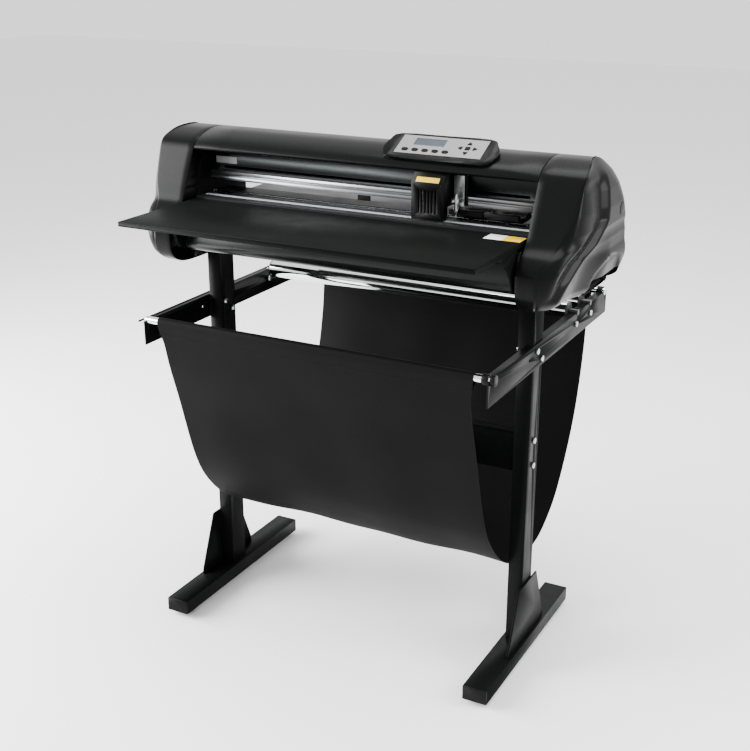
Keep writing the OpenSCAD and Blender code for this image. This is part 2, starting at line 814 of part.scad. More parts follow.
// Front view of an end cover, set in by a wall
module end_outline(inset) {
    line = shifted([for (p = smooth_line(end_points, 3)) [half_body - p[0], body_z + p[1]]], inset);
    polygon(concat([[half_open - 2, line[0][1]]], line, [[half_open - 2, line[len(line) - 1][1]]]));
}

// Plan view of an end cover, set in by a wall
module plan_outline(inset) {
    f = plan_front_r;
    r = plan_rear_r;
    polygon(concat([[half_open - 2, plan_front + inset]],
        arc([half_body - f, plan_front + f], f - inset, -90, 0, 8),
        arc([half_body - r, plan_rear - r], r - inset, 0, 90, 8),
        [[half_open - 2, plan_rear - inset]]));
}

// An end cover's full shape: its side, front and plan views cut from one block
module cover_solid(inset) {
    start = half_open - (inset > 0 ? 1 : 0);
    intersection() {
        along_x(start, half_body) polygon(inset_loop([for (p = cover_profile) raised(p)], inset));
        translate([0, side_reach, 0]) rotate([90, 0, 0]) linear_extrude(2 * side_reach) end_outline(inset);
        translate([0, 0, body_z - 5]) linear_extrude(side_reach) plan_outline(inset);
    }
}

module end_cover_left() {
    color("#1a1b1d") mirror([1, 0, 0]) difference() {
        cover_solid(0);
        cover_solid(cover_wall);
        rear_notch();
    }
}

// The cut in an end cover's inner rear edge, level with the media slot
notch_y = 118;
notch_w = 34;

module rear_notch() {
    block([half_open - 3, notch_y, deck_z - 42], [half_open + notch_w, side_reach, rail_z]);
}

recess_y = [8, 142];
recess_z = [body_z + 12, body_z + 40];
recess_floor = half_body - 62;

module end_cover_right() {
    color("#1a1b1d") difference() {
        union() {
            difference() {
                cover_solid(0);
                cover_solid(cover_wall);
            }
            intersection() {
                cover_solid(0);
                block([recess_floor - cover_wall, recess_y[0] - cover_wall, recess_z[0] - cover_wall],
                    [half_body, recess_y[1] + cover_wall, recess_z[1] + cover_wall]);
            }
        }
        block([recess_floor, recess_y[0], recess_z[0]], [half_body + 1, recess_y[1], recess_z[1]]);
        rear_notch();
    }
}

// ---------- tables ----------

table_half = half_open - 6;

module front_table() {
    color("#1e2022") block([-table_half, -front_table_reach, deck_z - table_t],
        [table_half, platen_front - 1, deck_z]);
}

rear_table_half = half_open - 29;
rear_drop = 7;
rear_t = 3;

module rear_table() {
    color("#3a3c3f") {
        start = platen_back + 1;
        top = deck_z - rear_drop;
        block([-rear_table_half, start, top - rear_t], [rear_table_half, rear_table_reach, top]);
        block([-rear_table_half, start, base_top], [rear_table_half, start + rear_t, top - rear_t + eps]);
    }
}

bracket_t = 4;
bracket_reach = 292;

module table_brackets() {
    top = deck_z - table_t;
    color("#1c1d1f") both_sides() along_x(plate_in - bracket_t, plate_in)
        polygon(concat([[-bracket_reach, top], [-bracket_reach, top - 4]],
            arc([-bracket_reach + 50, top - 104], 104, 78, 14, 10),
            [[base_front, top - 86], [base_front, top]]));
}

// ---------- control panel ----------

face_y = -37;
face_z = body_z + 258;
panel_t = 16;
face_t = 1.2;

// Panel coordinates: u along X from the panel's centre, v up the slope from the face's lower edge
module on_panel(h) {
    translate([panel_x, face_y, face_z]) rotate([panel_slope, 0, 0]) translate([0, 0, h]) children();
}

module housing_outline() {
    w = face_w / 2;
    polygon(smooth_loop([[-w - 4, -14], [0, -17], [w + 8, -16], [w + 25, 0], [w + 30, 22],
        [w + 20, 46], [w, face_d + 6], [0, face_d + 6], [-w - 8, face_d + 4], [-w - 24, 40],
        [-w - 28, 16], [-w - 20, -4]], 3));
}

pocket_d = 4;

module panel_housing() {
    w = face_w / 2;
    color("#131415") difference() {
        on_panel(-panel_t - 20) linear_extrude(panel_t + 20) housing_outline();
        along_x(-half_open, half_open) polygon([for (p = cover_profile) raised(p)]);
        on_panel(-face_t) linear_extrude(panel_t) translate([-w, 0]) square([face_w, face_d]);
        on_panel(-face_t - pocket_d) linear_extrude(panel_t)
            translate([-w + 4, 4]) square([face_w - 8, face_d - 8]);
        on_panel(-panel_t - 30) linear_extrude(30) translate([-w - 40, -40]) square([face_w + 80, 34]);
    }
}

screen_u = [-60, 5];
screen_v = [27, 49];
menu_u = [for (i = [0 : 4]) -71 + i * 21.2];
menu_v = 11.5;
pad_u = 54;
pad_v = 28;
pad_reach = 15;
key_gap = 0.35;

module oval(l, w) {
    union() {
        square([l - w, w], center = true);
        for (s = [-1, 1]) translate([s * (l - w) / 2, 0]) circle(d = w, $fn = fine);
    }
}

// A triangle that points towards +V
module arrow_shape(r) {
    polygon([[0, r], [-r, -r * 0.7], [r, -r * 0.7]]);
}

arrow_dirs = [[0, 1, 0], [-1, 0, 90], [1, 0, -90], [0, -1, 180]];

module face_cut() {
    translate([screen_u[0], screen_v[0]]) square([screen_u[1] - screen_u[0], screen_v[1] - screen_v[0]]);
    for (u = menu_u) translate([u, menu_v]) oval(13 + 2 * key_gap, 8 + 2 * key_gap);
    for (a = arrow_dirs) translate([pad_u + a[0] * pad_reach, pad_v + a[1] * pad_reach])
        rotate(a[2]) arrow_shape(4.6 + 2 * key_gap);
    translate([pad_u, pad_v]) square(9 + 2 * key_gap, center = true);
}

module panel_face() {
    color("#b9bcbb") on_panel(-face_t) linear_extrude(face_t) difference() {
        translate([-face_w / 2, 0]) square([face_w, face_d]);
        face_cut();
    }
}

module panel_screen() {
    color("#6d7c88") on_panel(-face_t - pocket_d) linear_extrude(pocket_d + 0.5)
        translate([screen_u[0] + 0.2, screen_v[0] + 0.2])
            square([screen_u[1] - screen_u[0] - 0.4, screen_v[1] - screen_v[0] - 0.4]);
}

key_rise = 1.4;
key_depth = 2.4;

module key_at(u, v) {
    color("#17181a") on_panel(-key_depth) translate([u, v, 0]) linear_extrude(key_depth + key_rise) children();
}

module menu_key(i) key_at(menu_u[i], menu_v) oval(13, 8);
module menu_key_1() menu_key(0);
module menu_key_2() menu_key(1);
module menu_key_3() menu_key(2);
module menu_key_4() menu_key(3);
module menu_key_5() menu_key(4);

module arrow_key(i) {
    a = arrow_dirs[i];
    key_at(pad_u + a[0] * pad_reach, pad_v + a[1] * pad_reach) rotate(a[2]) arrow_shape(4.6);
}

module arrow_key_up() arrow_key(0);
module arrow_key_left() arrow_key(1);
module arrow_key_right() arrow_key(2);
module arrow_key_down() arrow_key(3);
module enter_key() key_at(pad_u, pad_v) square(9, center = true);

// ---------- sockets ----------

socket_z = (recess_z[0] + recess_z[1]) / 2;

// The inlet and the frame round its rocker switch, moulded in one
module power_inlet() {
    color("#101011") difference() {
        union() {
            block([recess_floor, 16, socket_z - 12], [recess_floor + 8, 48, socket_z + 12]);
            block([recess_floor, 48 - eps, socket_z - 10], [recess_floor + 5, rocker_y + 13, socket_z + 10]);
        }
        block([recess_floor + 2, 20, socket_z - 8], [recess_floor + 9, 44, socket_z + 8]);
        block([recess_floor + 0.4, rocker_y - 10.5, socket_z - 6.3],
            [recess_floor + 9, rocker_y + 10.5, socket_z + 6.3]);
    }
    color("#c8c9ca") for (y = [26, 32, 38])
        block([recess_floor + 2 - eps, y - 1, socket_z - 2], [recess_floor + 7, y + 1, socket_z + 2]);
}

rocker_tilt = 8;
rocker_pin_d = 3;
rocker_y = 66;

module power_switch() {
    place = [recess_floor + 6, rocker_y, socket_z];
    color("#0e0e0f") translate(place) rotate([0, 0, -rocker_tilt]) intersection() {
        block([-4, -9, -6], [4, 9, 6]);
        translate([-4, 0, -7]) cylinder(h = 14, r = 9.6, $fn = fine);
    }
    color("#0e0e0f") rod_z(socket_z - 6.2, socket_z + 6.2, recess_floor + 6, rocker_y, rocker_pin_d);
}

module data_sockets() {
    color("#9b9fa2") for (y = [86, 108]) difference() {
        block([recess_floor, y, socket_z - 8], [recess_floor + 9, y + 16, socket_z + 8]);
        block([recess_floor + 2, y + 2, socket_z - 6], [recess_floor + 10, y + 14, socket_z + 6]);
    }
}

placed() foot_bars();
placed() foot_end_caps();
placed() leveling_feet();
placed() legs();
placed() gusset_plates();
placed() cross_beam();
placed() stand_bolts();
placed() arm_left();
placed() arm_right();
placed() media_roller_front();
placed() media_roller_rear();
placed() basket_rods();
placed() basket_rod_caps();
placed() basket_fabric();
placed() base_beam();
placed() base_knob();
placed() side_plates();
placed() rail_beam();
placed() guide_rail();
placed() platen();
placed() cutting_strip();
placed() grit_shaft();
placed() shaft_bearings();
placed() drive_motors();
placed() feed_belt();
placed() feed_shaft_pulley();
placed() feed_motor_pulley();
placed() carriage_plate();
placed() carriage_cover();
placed() tool_slide();
placed() blade_holder();
placed() carriage_belt();
placed() belt_drive_pulley();
placed() belt_idler_pulley();
placed() pinch_arm_left();
placed() pinch_arm_right();
placed() pinch_roller_left();
placed() pinch_roller_right();
placed() top_cover();
placed() end_cover_left();
placed() end_cover_right();
placed() front_table();
placed() rear_table();
placed() table_brackets();
placed() panel_housing();
placed() panel_face();
placed() panel_screen();
placed() menu_key_1();
placed() menu_key_2();
placed() menu_key_3();
placed() menu_key_4();
placed() menu_key_5();
placed() arrow_key_up();
placed() arrow_key_left();
placed() arrow_key_right();
placed() arrow_key_down();
placed() enter_key();
placed() power_inlet();
placed() power_switch();
placed() data_sockets();
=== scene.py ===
"""A floor-standing vinyl cutter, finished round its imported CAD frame. All sizes are in metres."""

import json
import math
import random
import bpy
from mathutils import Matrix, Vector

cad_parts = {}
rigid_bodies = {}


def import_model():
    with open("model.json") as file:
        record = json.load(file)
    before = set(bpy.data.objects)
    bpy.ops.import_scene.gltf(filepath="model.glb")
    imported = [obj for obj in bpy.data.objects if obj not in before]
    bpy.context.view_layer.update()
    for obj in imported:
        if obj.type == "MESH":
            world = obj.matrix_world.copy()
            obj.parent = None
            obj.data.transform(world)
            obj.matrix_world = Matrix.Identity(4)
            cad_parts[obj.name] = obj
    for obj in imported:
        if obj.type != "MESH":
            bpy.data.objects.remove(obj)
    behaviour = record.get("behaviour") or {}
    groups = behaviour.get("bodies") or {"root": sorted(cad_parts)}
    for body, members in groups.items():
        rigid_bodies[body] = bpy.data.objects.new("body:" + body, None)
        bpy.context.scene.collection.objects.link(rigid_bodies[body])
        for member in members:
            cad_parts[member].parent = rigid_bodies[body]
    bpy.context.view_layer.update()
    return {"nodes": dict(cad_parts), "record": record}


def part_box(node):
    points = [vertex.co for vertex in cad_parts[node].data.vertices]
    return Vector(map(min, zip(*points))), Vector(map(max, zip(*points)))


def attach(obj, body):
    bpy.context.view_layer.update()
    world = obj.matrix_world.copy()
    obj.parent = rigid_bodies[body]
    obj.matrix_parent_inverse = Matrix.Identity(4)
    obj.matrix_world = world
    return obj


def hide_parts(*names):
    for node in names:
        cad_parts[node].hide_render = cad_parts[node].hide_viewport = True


bl_info = {
    "name": "Vinyl cutter",
    "version": (1, 0, 0),
    "blender": (4, 5, 0),
    "location": "3D View > Sidebar > Cutter",
    "description": "Builds the finished surfaces of a floor-standing vinyl cutter",
    "category": "Object",
}

import bmesh
import bpy
import numpy as np
from bpy.props import FloatProperty, FloatVectorProperty, IntProperty, PointerProperty
from mathutils import Vector

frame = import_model()
NODES = frame["nodes"]
BODIES = frame["record"]["behaviour"]["bodies"]
SLOTS = {row["node"]: row["material_slot"] for row in frame["record"]["subparts"]}

MM = 0.001
# The middle of the foot bars lies this far ahead of the origin
STAND_Y = -0.043
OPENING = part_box("top_cover")[1][0]
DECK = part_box("front_table")[1][2]
DECK_RISE = 0.130
UNDERSIDE = DECK - DECK_RISE
SEED = 11


def body_of_node(node):
    """The body that a CAD node belongs to."""
    return next(body for body, nodes in BODIES.items() if node in nodes)


class CutterSizes(bpy.types.PropertyGroup):
    """Sizes of the finishing details."""

    edge_round: FloatProperty(
        name="Edge rounding", description="Radius on the edges of folded sheet and tube",
        default=0.0008, min=0.0002, max=0.002, unit="LENGTH")
    seam_round: FloatProperty(
        name="Seam rounding", description="Radius where the end covers meet the top cover",
        default=0.0012, min=0.0004, max=0.003, unit="LENGTH")
    cover_wall: FloatProperty(
        name="Cover wall", description="Thickness of the moulded covers",
        default=0.0026, min=0.001, max=0.004, unit="LENGTH")
    cloth_t: FloatProperty(
        name="Cloth thickness", description="Thickness of the basket's cloth",
        default=0.0011, min=0.0005, max=0.003, unit="LENGTH")
    hem: FloatProperty(
        name="Hem", description="Depth of the hem sewn round each basket rod",
        default=0.030, min=0.015, max=0.05, unit="LENGTH")
    stitch_pitch: FloatProperty(
        name="Stitch pitch", description="Distance between the stitches of the hems",
        default=0.0045, min=0.002, max=0.01, unit="LENGTH")
    screw_d: FloatProperty(
        name="Screw head", description="Diameter of the small screw heads",
        default=0.005, min=0.002, max=0.01, unit="LENGTH")
    grit_count: IntProperty(
        name="Grit per band", description="Number of grit grains on each band of the shaft",
        default=260, min=20, max=600)


class CutterColours(bpy.types.PropertyGroup):
    """Colours of the main finishes."""

    cover: FloatVectorProperty(
        name="Covers", description="Colour of the moulded covers", subtype="COLOR",
        size=3, min=0, max=1, default=(0.0022, 0.0024, 0.0023))
    coat: FloatVectorProperty(
        name="Powder coat", description="Colour of the stand and the arms", subtype="COLOR",
        size=3, min=0, max=1, default=(0.0034, 0.0036, 0.0036))
    table: FloatVectorProperty(
        name="Tables", description="Colour of the front table", subtype="COLOR",
        size=3, min=0, max=1, default=(0.0040, 0.0046, 0.0043))
    cloth: FloatVectorProperty(
        name="Cloth", description="Colour of the basket", subtype="COLOR",
        size=3, min=0, max=1, default=(0.0022, 0.0023, 0.0022))
    face: FloatVectorProperty(
        name="Panel face", description="Colour of the control panel's face", subtype="COLOR",
        size=3, min=0, max=1, default=(0.145, 0.15, 0.145))
    label: FloatVectorProperty(
        name="Labels", description="Colour of the plain stickers", subtype="COLOR",
        size=3, min=0, max=1, default=(0.62, 0.40, 0.0))


def sizes():
    return bpy.context.scene.cutter_sizes


def colours():
    return bpy.context.scene.cutter_colours


# ---------- materials ----------


class Recipe:
    """A material being built: a Principled shader and the nodes that feed it."""

    def __init__(self, name, colour, roughness, metallic=0.0, **sockets):
        self.material = bpy.data.materials.new(name)
        self.material.use_nodes = True
        self.tree = self.material.node_tree
        self.tree.nodes.clear()
        self.out = self.tree.nodes.new("ShaderNodeOutputMaterial")
        self.shader = self.tree.nodes.new("ShaderNodeBsdfPrincipled")
        self.join(self.shader.outputs[0], self.out.inputs[0])
        self.set(self.shader, "Base Color", (*colour, 1))
        self.set(self.shader, "Roughness", roughness)
        self.set(self.shader, "Metallic", metallic)
        for socket, value in sockets.items():
            self.set(self.shader, socket.replace("_", " "), value)
        self.colour = (*colour, 1)
        self.roughness = roughness

    def set(self, node, socket, value):
        node.inputs[socket].default_value = value

    def join(self, a, b):
        self.tree.links.new(a, b)

    def node(self, kind, **values):
        new = self.tree.nodes.new(kind)
        for socket, value in values.items():
            self.set(new, socket.replace("_", " "), value)
        return new

    def place(self, stretch=(1, 1, 1), uv=False):
        coord = self.tree.nodes.new("ShaderNodeTexCoord")
        mapping = self.node("ShaderNodeMapping", Scale=stretch)
        self.join(coord.outputs["UV" if uv else "Object"], mapping.inputs["Vector"])
        return mapping.outputs["Vector"]

    def noise(self, scale, detail=3.0, stretch=(1, 1, 1), uv=False):
        new = self.node("ShaderNodeTexNoise", Scale=scale, Detail=detail)
        self.join(self.place(stretch, uv), new.inputs["Vector"])
        return new.outputs["Fac"]

    def span(self, value, low, high, low_in=0.3, high_in=0.7):
        new = self.node("ShaderNodeMapRange")
        new.inputs["From Min"].default_value = low_in
        new.inputs["From Max"].default_value = high_in
        new.inputs["To Min"].default_value = low
        new.inputs["To Max"].default_value = high
        self.join(value, new.inputs["Value"])
        return new.outputs["Result"]

    def vary_roughness(self, scale, amount, stretch=(1, 1, 1)):
        noise = self.noise(scale, stretch=stretch)
        value = self.span(noise, self.roughness - amount, self.roughness + amount)
        self.join(value, self.shader.inputs["Roughness"])
        return self

    def vary_colour(self, scale, amount, stretch=(1, 1, 1)):
        mix = self.tree.nodes.new("ShaderNodeMix")
        mix.data_type = "RGBA"
        mix.inputs[6].default_value = tuple(c * (1 - amount) for c in self.colour[:3]) + (1,)
        mix.inputs[7].default_value = tuple(min(1, c * (1 + amount)) for c in self.colour[:3]) + (1,)
        self.join(self.span(self.noise(scale, stretch=stretch), 0, 1), mix.inputs[0])
        self.join(mix.outputs[2], self.shader.inputs["Base Color"])
        return self

    def bumps(self, height, strength, distance):
        bump = self.node("ShaderNodeBump", Strength=strength, Distance=distance)
        self.join(height, bump.inputs["Height"])
        self.join(bump.outputs[0], self.shader.inputs["Normal"])
        return self


def moulded_plastic(name, colour, roughness=0.34, grain=1400, shine=0.07):
    """Satin moulded plastic with a fine spark-eroded grain."""
    recipe = Recipe(name, colour, roughness, Specular_IOR_Level=shine)
    recipe.vary_roughness(9, 0.035).vary_colour(5, 0.08)
    return recipe.bumps(recipe.noise(grain, 2), 0.12, 0.00012).material


def powder_coat(name, colour, roughness=0.38, shine=0.03):
    """Baked powder coat with a slight orange peel."""
    recipe = Recipe(name, colour, roughness, Specular_IOR_Level=shine)
    recipe.vary_roughness(14, 0.05).vary_colour(6, 0.10)
    return recipe.bumps(recipe.noise(620, 3), 0.22, 0.00018).material


def drawn_metal(name, colour, roughness, along=(1, 60, 60), scale=26):
    """Metal with fine lines along one direction."""
    recipe = Recipe(name, colour, roughness, 1.0)
    recipe.vary_roughness(scale, 0.07, along).vary_colour(scale, 0.10, along)
    return recipe.bumps(recipe.noise(scale * 2, 2, along), 0.06, 0.0001).material


def chrome(name="roller_chrome"):
    """Bright plating with faint handling marks."""
    recipe = Recipe(name, (0.80, 0.81, 0.82), 0.07, 1.0)
    recipe.vary_roughness(11, 0.025)
    return recipe.bumps(recipe.noise(240, 2, (1, 8, 8)), 0.02, 0.0001).material


def black_rubber(name="black_rubber"):
    """Matt rubber with a dusty bloom."""
    recipe = Recipe(name, (0.008, 0.008, 0.008), 0.72, Specular_IOR_Level=0.2)
    recipe.vary_colour(38, 0.22)
    return recipe.bumps(recipe.noise(900, 3), 0.25, 0.0002).material


# Length of a roller's axle and plug beyond its chrome tube
LEFT_STUB = 0.012
RIGHT_STUB = 0.024


def roller_tube():
    """Chrome between the two plugs of a roller, and black plastic beyond them."""
    recipe = Recipe("roller_tube", (0.78, 0.79, 0.80), 0.07, 1.0)
    recipe.vary_roughness(11, 0.025)
    plug = recipe.tree.nodes.new("ShaderNodeBsdfPrincipled")
    recipe.set(plug, "Base Color", (0.012, 0.012, 0.013, 1))
    recipe.set(plug, "Roughness", 0.4)
    low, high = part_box("media_roller_front")
    left_plug = low[0] + LEFT_STUB
    right_plug = high[0] - RIGHT_STUB
    split = recipe.tree.nodes.new("ShaderNodeSeparateXYZ")
    recipe.join(recipe.place(), split.inputs[0])
    inside = recipe.tree.nodes.new("ShaderNodeMath")
    inside.operation = "COMPARE"
    recipe.join(split.outputs["X"], inside.inputs[0])
    inside.inputs[1].default_value = (left_plug + right_plug) / 2
    inside.inputs[2].default_value = (right_plug - left_plug) / 2
    mix = recipe.tree.nodes.new("ShaderNodeMixShader")
    recipe.join(inside.outputs[0], mix.inputs[0])
    recipe.join(plug.outputs[0], mix.inputs[1])
    recipe.join(recipe.shader.outputs[0], mix.inputs[2])
    recipe.join(mix.outputs[0], recipe.out.inputs[0])
    return recipe.material


def basket_cloth():
    """Plain-woven nylon: warp and weft as two crossed waves over the cloth's own UV, in metres."""
    recipe = Recipe("basket_cloth", tuple(colours().cloth), 0.62, Specular_IOR_Level=0.04, Sheen_Weight=0.004)
    place = recipe.place(uv=True)
    threads = []
    for direction in ("X", "Y"):
        wave = recipe.node("ShaderNodeTexWave", Scale=120, Distortion=0.3, Detail=1)
        wave.bands_direction = direction
        recipe.join(place, wave.inputs["Vector"])
        threads.append(wave.outputs["Fac"])
    weave = recipe.tree.nodes.new("ShaderNodeMath")
    weave.operation = "MULTIPLY"
    recipe.join(threads[0], weave.inputs[0])
    recipe.join(threads[1], weave.inputs[1])
    recipe.vary_colour(7, 0.16)
    recipe.vary_roughness(4, 0.06)
    return recipe.bumps(weave.outputs[0], 0.35, 0.0004).material


def silver_face():
    """Fine metallic paint on the control panel."""
    recipe = Recipe("silver_face", tuple(colours().face), 0.40, 0.2)
    recipe.vary_colour(2600, 0.07).vary_roughness(30, 0.04)
    return recipe.bumps(recipe.noise(1800, 2), 0.05, 0.00005).material


def display_glass():
    """A grey-blue display window with a faint fine mottle."""
    recipe = Recipe("display_glass", (0.030, 0.040, 0.052), 0.20, Specular_IOR_Level=0.25)
    recipe.vary_colour(900, 0.05).vary_roughness(60, 0.03)
    return recipe.material


def sticker(name, colour):
    """Printed vinyl, a little uneven and worn matt."""
    recipe = Recipe(name, colour, 0.42)
    recipe.vary_colour(70, 0.06).vary_roughness(120, 0.06)
    return recipe.material


FINISHES = {}


def make_finishes():
    """All the finishes, by name."""
    colour = colours()
    cover = tuple(colour.cover)
    FINISHES.update(
        cover=moulded_plastic("cover_plastic", cover, 0.27),
        plastic=moulded_plastic("small_plastic", (0.0026, 0.0026, 0.0028), 0.42, 2000, 0.09),
        key=moulded_plastic("key_plastic", (0.0026, 0.0026, 0.003), 0.48, 2400, 0.06),
        coat=powder_coat("black_powder_coat", tuple(colour.coat), 0.36),
        plate=powder_coat("inner_plate_coat", (0.004, 0.0043, 0.0043), 0.42),
        table=powder_coat("table_coat", tuple(colour.table), 0.40, 0.012),
        deck=powder_coat("deck_coat", (0.012, 0.0135, 0.0135), 0.36, 0.13),
        base=moulded_plastic("base_satin", (0.003, 0.0034, 0.0034), 0.28, 900, 0.14),
        chrome=chrome(),
        tube=roller_tube(),
        steel=drawn_metal("zinc_steel", (0.56, 0.57, 0.58), 0.30, (1, 1, 1), 180),
        shaft=drawn_metal("ground_shaft", (0.60, 0.61, 0.62), 0.22, (60, 1, 1), 30),
        light_rail=drawn_metal("rail_aluminium", (0.27, 0.28, 0.29), 0.38),
        dark_rail=drawn_metal("dark_anodised", (0.022, 0.024, 0.024), 0.40),
        bracket=drawn_metal("bracket_aluminium", (0.50, 0.52, 0.52), 0.35, (40, 40, 1)),
        blade=drawn_metal("blade_holder_metal", (0.80, 0.81, 0.81), 0.25, (60, 60, 1)),
        strip=moulded_plastic("cutting_strip", (0.55, 0.56, 0.57), 0.28, 900, 0.5),
        rubber=black_rubber(),
        cloth=basket_cloth(),
        silver=silver_face(),
        display=display_glass(),
        yellow=sticker("yellow_sticker", tuple(colour.label)),
        white=sticker("white_sticker", (0.72, 0.73, 0.72)),
        pale=sticker("pale_plate", (0.28, 0.29, 0.29)),
        thread=moulded_plastic("hem_thread", (0.009, 0.009, 0.0095), 0.6, 3000),
        grit=moulded_plastic("shaft_grit", (0.20, 0.20, 0.21), 0.75, 2600),
        dark=moulded_plastic("recess_black", (0.004, 0.004, 0.004), 0.55, 1500),
        socket=drawn_metal("socket_shell", (0.52, 0.53, 0.54), 0.34, (1, 1, 1), 150),
    )


NODE_FINISH = {
    "foot_bars": "coat", "foot_end_caps": "plastic", "leveling_feet": "rubber", "legs": "coat",
    "gusset_plates": "coat", "cross_beam": "coat", "stand_bolts": "steel", "arm_left": "coat",
    "arm_right": "coat", "media_roller_front": "tube", "media_roller_rear": "tube",
    "basket_rods": "chrome", "basket_rod_caps": "plastic", "base_beam": "base",
    "base_knob": "plastic", "side_plates": "plate", "rail_beam": "dark_rail",
    "guide_rail": "light_rail", "platen": "deck", "cutting_strip": "strip", "grit_shaft": "shaft",
    "shaft_bearings": "steel", "drive_motors": "plate", "feed_belt": "rubber",
    "feed_shaft_pulley": "bracket", "feed_motor_pulley": "bracket", "carriage_plate": "dark_rail",
    "carriage_cover": "plastic", "tool_slide": "bracket", "blade_holder": "blade",
    "carriage_belt": "rubber", "belt_drive_pulley": "bracket", "belt_idler_pulley": "bracket",
    "pinch_arm_left": "plastic", "pinch_arm_right": "plastic", "pinch_roller_left": "rubber",
    "pinch_roller_right": "rubber", "front_table": "table", "rear_table": "deck",
    "table_brackets": "coat", "panel_housing": "cover", "panel_face": "silver",
    "panel_screen": "display", "power_inlet": "plastic", "power_switch": "key",
    "data_sockets": "socket",
}
KEYS = [f"menu_key_{i}" for i in range(1, 6)] + [f"arrow_key_{d}" for d in ("up", "left", "right", "down")]
KEYS.append("enter_key")

# Nodes whose edges are rounded, with the radius as a share of the edge rounding
ROUNDED = {
    "foot_bars": 2.5, "foot_end_caps": 2.0, "legs": 3.0, "gusset_plates": 0.8, "cross_beam": 2.5,
    "stand_bolts": 1.2, "arm_left": 0.8, "arm_right": 0.8, "basket_rod_caps": 1.5, "base_beam": 0.8,
    "front_table": 1.6, "rear_table": 0.6, "table_brackets": 0.8, "panel_housing": 3.6,
    "carriage_cover": 1.4, "tool_slide": 0.6, "pinch_arm_left": 1.4, "pinch_arm_right": 1.4,
    "base_knob": 1.2, "power_inlet": 0.5, "data_sockets": 0.5, "rail_beam": 0.7, "guide_rail": 0.6,
}


# ---------- meshes ----------


def new_object(name, verts, faces, finish, smooth_angle=35):
    """A mesh object at the origin, shaded smooth below an angle."""
    mesh = bpy.data.meshes.new(name)
    mesh.from_pydata([tuple(v) for v in verts], [], [tuple(f) for f in faces])
    mesh.validate()
    piece = bpy.data.objects.new(name, mesh)
    bpy.context.collection.objects.link(piece)
    mesh.materials.append(FINISHES[finish])
    shade(piece, smooth_angle)
    return piece


def shade(piece, angle):
    piece.data.shade_smooth()
    piece.data.set_sharp_from_angle(angle=math.radians(angle))


def bake_modifiers(piece):
    """Turns the evaluated piece into its plain mesh and drops its modifiers."""
    bpy.context.view_layer.update()
    graph = bpy.context.evaluated_depsgraph_get()
    mesh = bpy.data.meshes.new_from_object(piece.evaluated_get(graph))
    piece.modifiers.clear()
    piece.data = mesh
    return piece


def settle(piece, body, slot, *replaced):
    """A finished piece rides its body and replaces its CAD nodes; its slot is not used."""
    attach(piece, body)
    if replaced:
        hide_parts(*replaced)
    return piece


def rounded_copy(node, finish, radius):
    """A copy of a CAD node with its edges rounded, which replaces it."""
    source = bmesh.new()
    source.from_mesh(NODES[node].data)
    bmesh.ops.remove_doubles(source, verts=source.verts, dist=2e-6)
    bmesh.ops.dissolve_limit(
        source, angle_limit=math.radians(0.6), verts=source.verts, edges=source.edges)
    mesh = bpy.data.meshes.new(node + "_finished")
    source.to_mesh(mesh)
    source.free()
    piece = bpy.data.objects.new(node + "_finished", mesh)
    bpy.context.collection.objects.link(piece)
    mesh.materials.clear()
    mesh.materials.append(FINISHES[finish])
    for polygon in mesh.polygons:
        polygon.material_index = 0
    bevel = piece.modifiers.new("edges", "BEVEL")
    bevel.width = radius
    bevel.segments = 2
    bevel.limit_method = "ANGLE"
    bevel.angle_limit = math.radians(38)
    bevel.harden_normals = True
    bake_modifiers(piece)
    shade(piece, 42)
    return settle(piece, body_of_node(node), SLOTS[node], node)


def finish_node(node, finish):
    """Gives a CAD node its material without touching its mesh."""
    data = NODES[node].data
    data.materials.clear()
    data.materials.append(FINISHES[finish])


def finish_group(*nodes):
    for node in nodes:
        finish = NODE_FINISH.get(node, "key")
        if node in ROUNDED:
            rounded_copy(node, finish, ROUNDED[node] * sizes().edge_round)
        else:
            finish_node(node, finish)


def box_faces(low, high):
    """The eight corners and six faces of a box."""
    (x0, y0, z0), (x1, y1, z1) = low, high
    corners = [(x, y, z) for z in (z0, z1) for y in (y0, y1) for x in (x0, x1)]
    faces = [(0, 2, 3, 1), (4, 5, 7, 6), (0, 1, 5, 4), (2, 6, 7, 3), (0, 4, 6, 2), (1, 3, 7, 5)]
    return corners, faces


def rounded_box(name, low, high, finish, radius):
    """A box with rounded edges, turned into a plain mesh."""
    corners, faces = box_faces(low, high)
    piece = new_object(name, corners, faces, finish)
    bevel = piece.modifiers.new("edges", "BEVEL")
    bevel.width = radius
    bevel.segments = 3
    bake_modifiers(piece)
    shade(piece, 40)
    return piece


def smooth_loop(points, steps):
    """A closed smooth curve through rows of numbers, one row to a station."""
    rows = np.array(points, float)
    result = []
    for i in range(len(rows)):
        a, b, c, d = (rows[(i + k) % len(rows)] for k in (-1, 0, 1, 2))
        for k in range(steps):
            t = k / steps
            result.append(
                0.5 * (2 * b + (c - a) * t + (2 * a - 5 * b + 4 * c - d) * t**2
                       + (3 * b - a - 3 * c + d) * t**3))
    return np.array(result)


def smooth_line(points, steps):
    """An open smooth curve through rows of numbers."""
    rows = np.array(points, float)
    result = []
    for i in range(len(rows) - 1):
        a, b, c, d = (rows[min(max(i + k, 0), len(rows) - 1)] for k in (-1, 0, 1, 2))
        for k in range(steps):
            t = k / steps
            result.append(
                0.5 * (2 * b + (c - a) * t + (2 * a - 5 * b + 4 * c - d) * t**2
                       + (3 * b - a - 3 * c + d) * t**3))
    result.append(rows[-1])
    return np.array(result)


def smooth_step(low, high, value):
    t = min(1.0, max(0.0, (value - low) / (high - low)))
    return t * t * (3 - 2 * t)


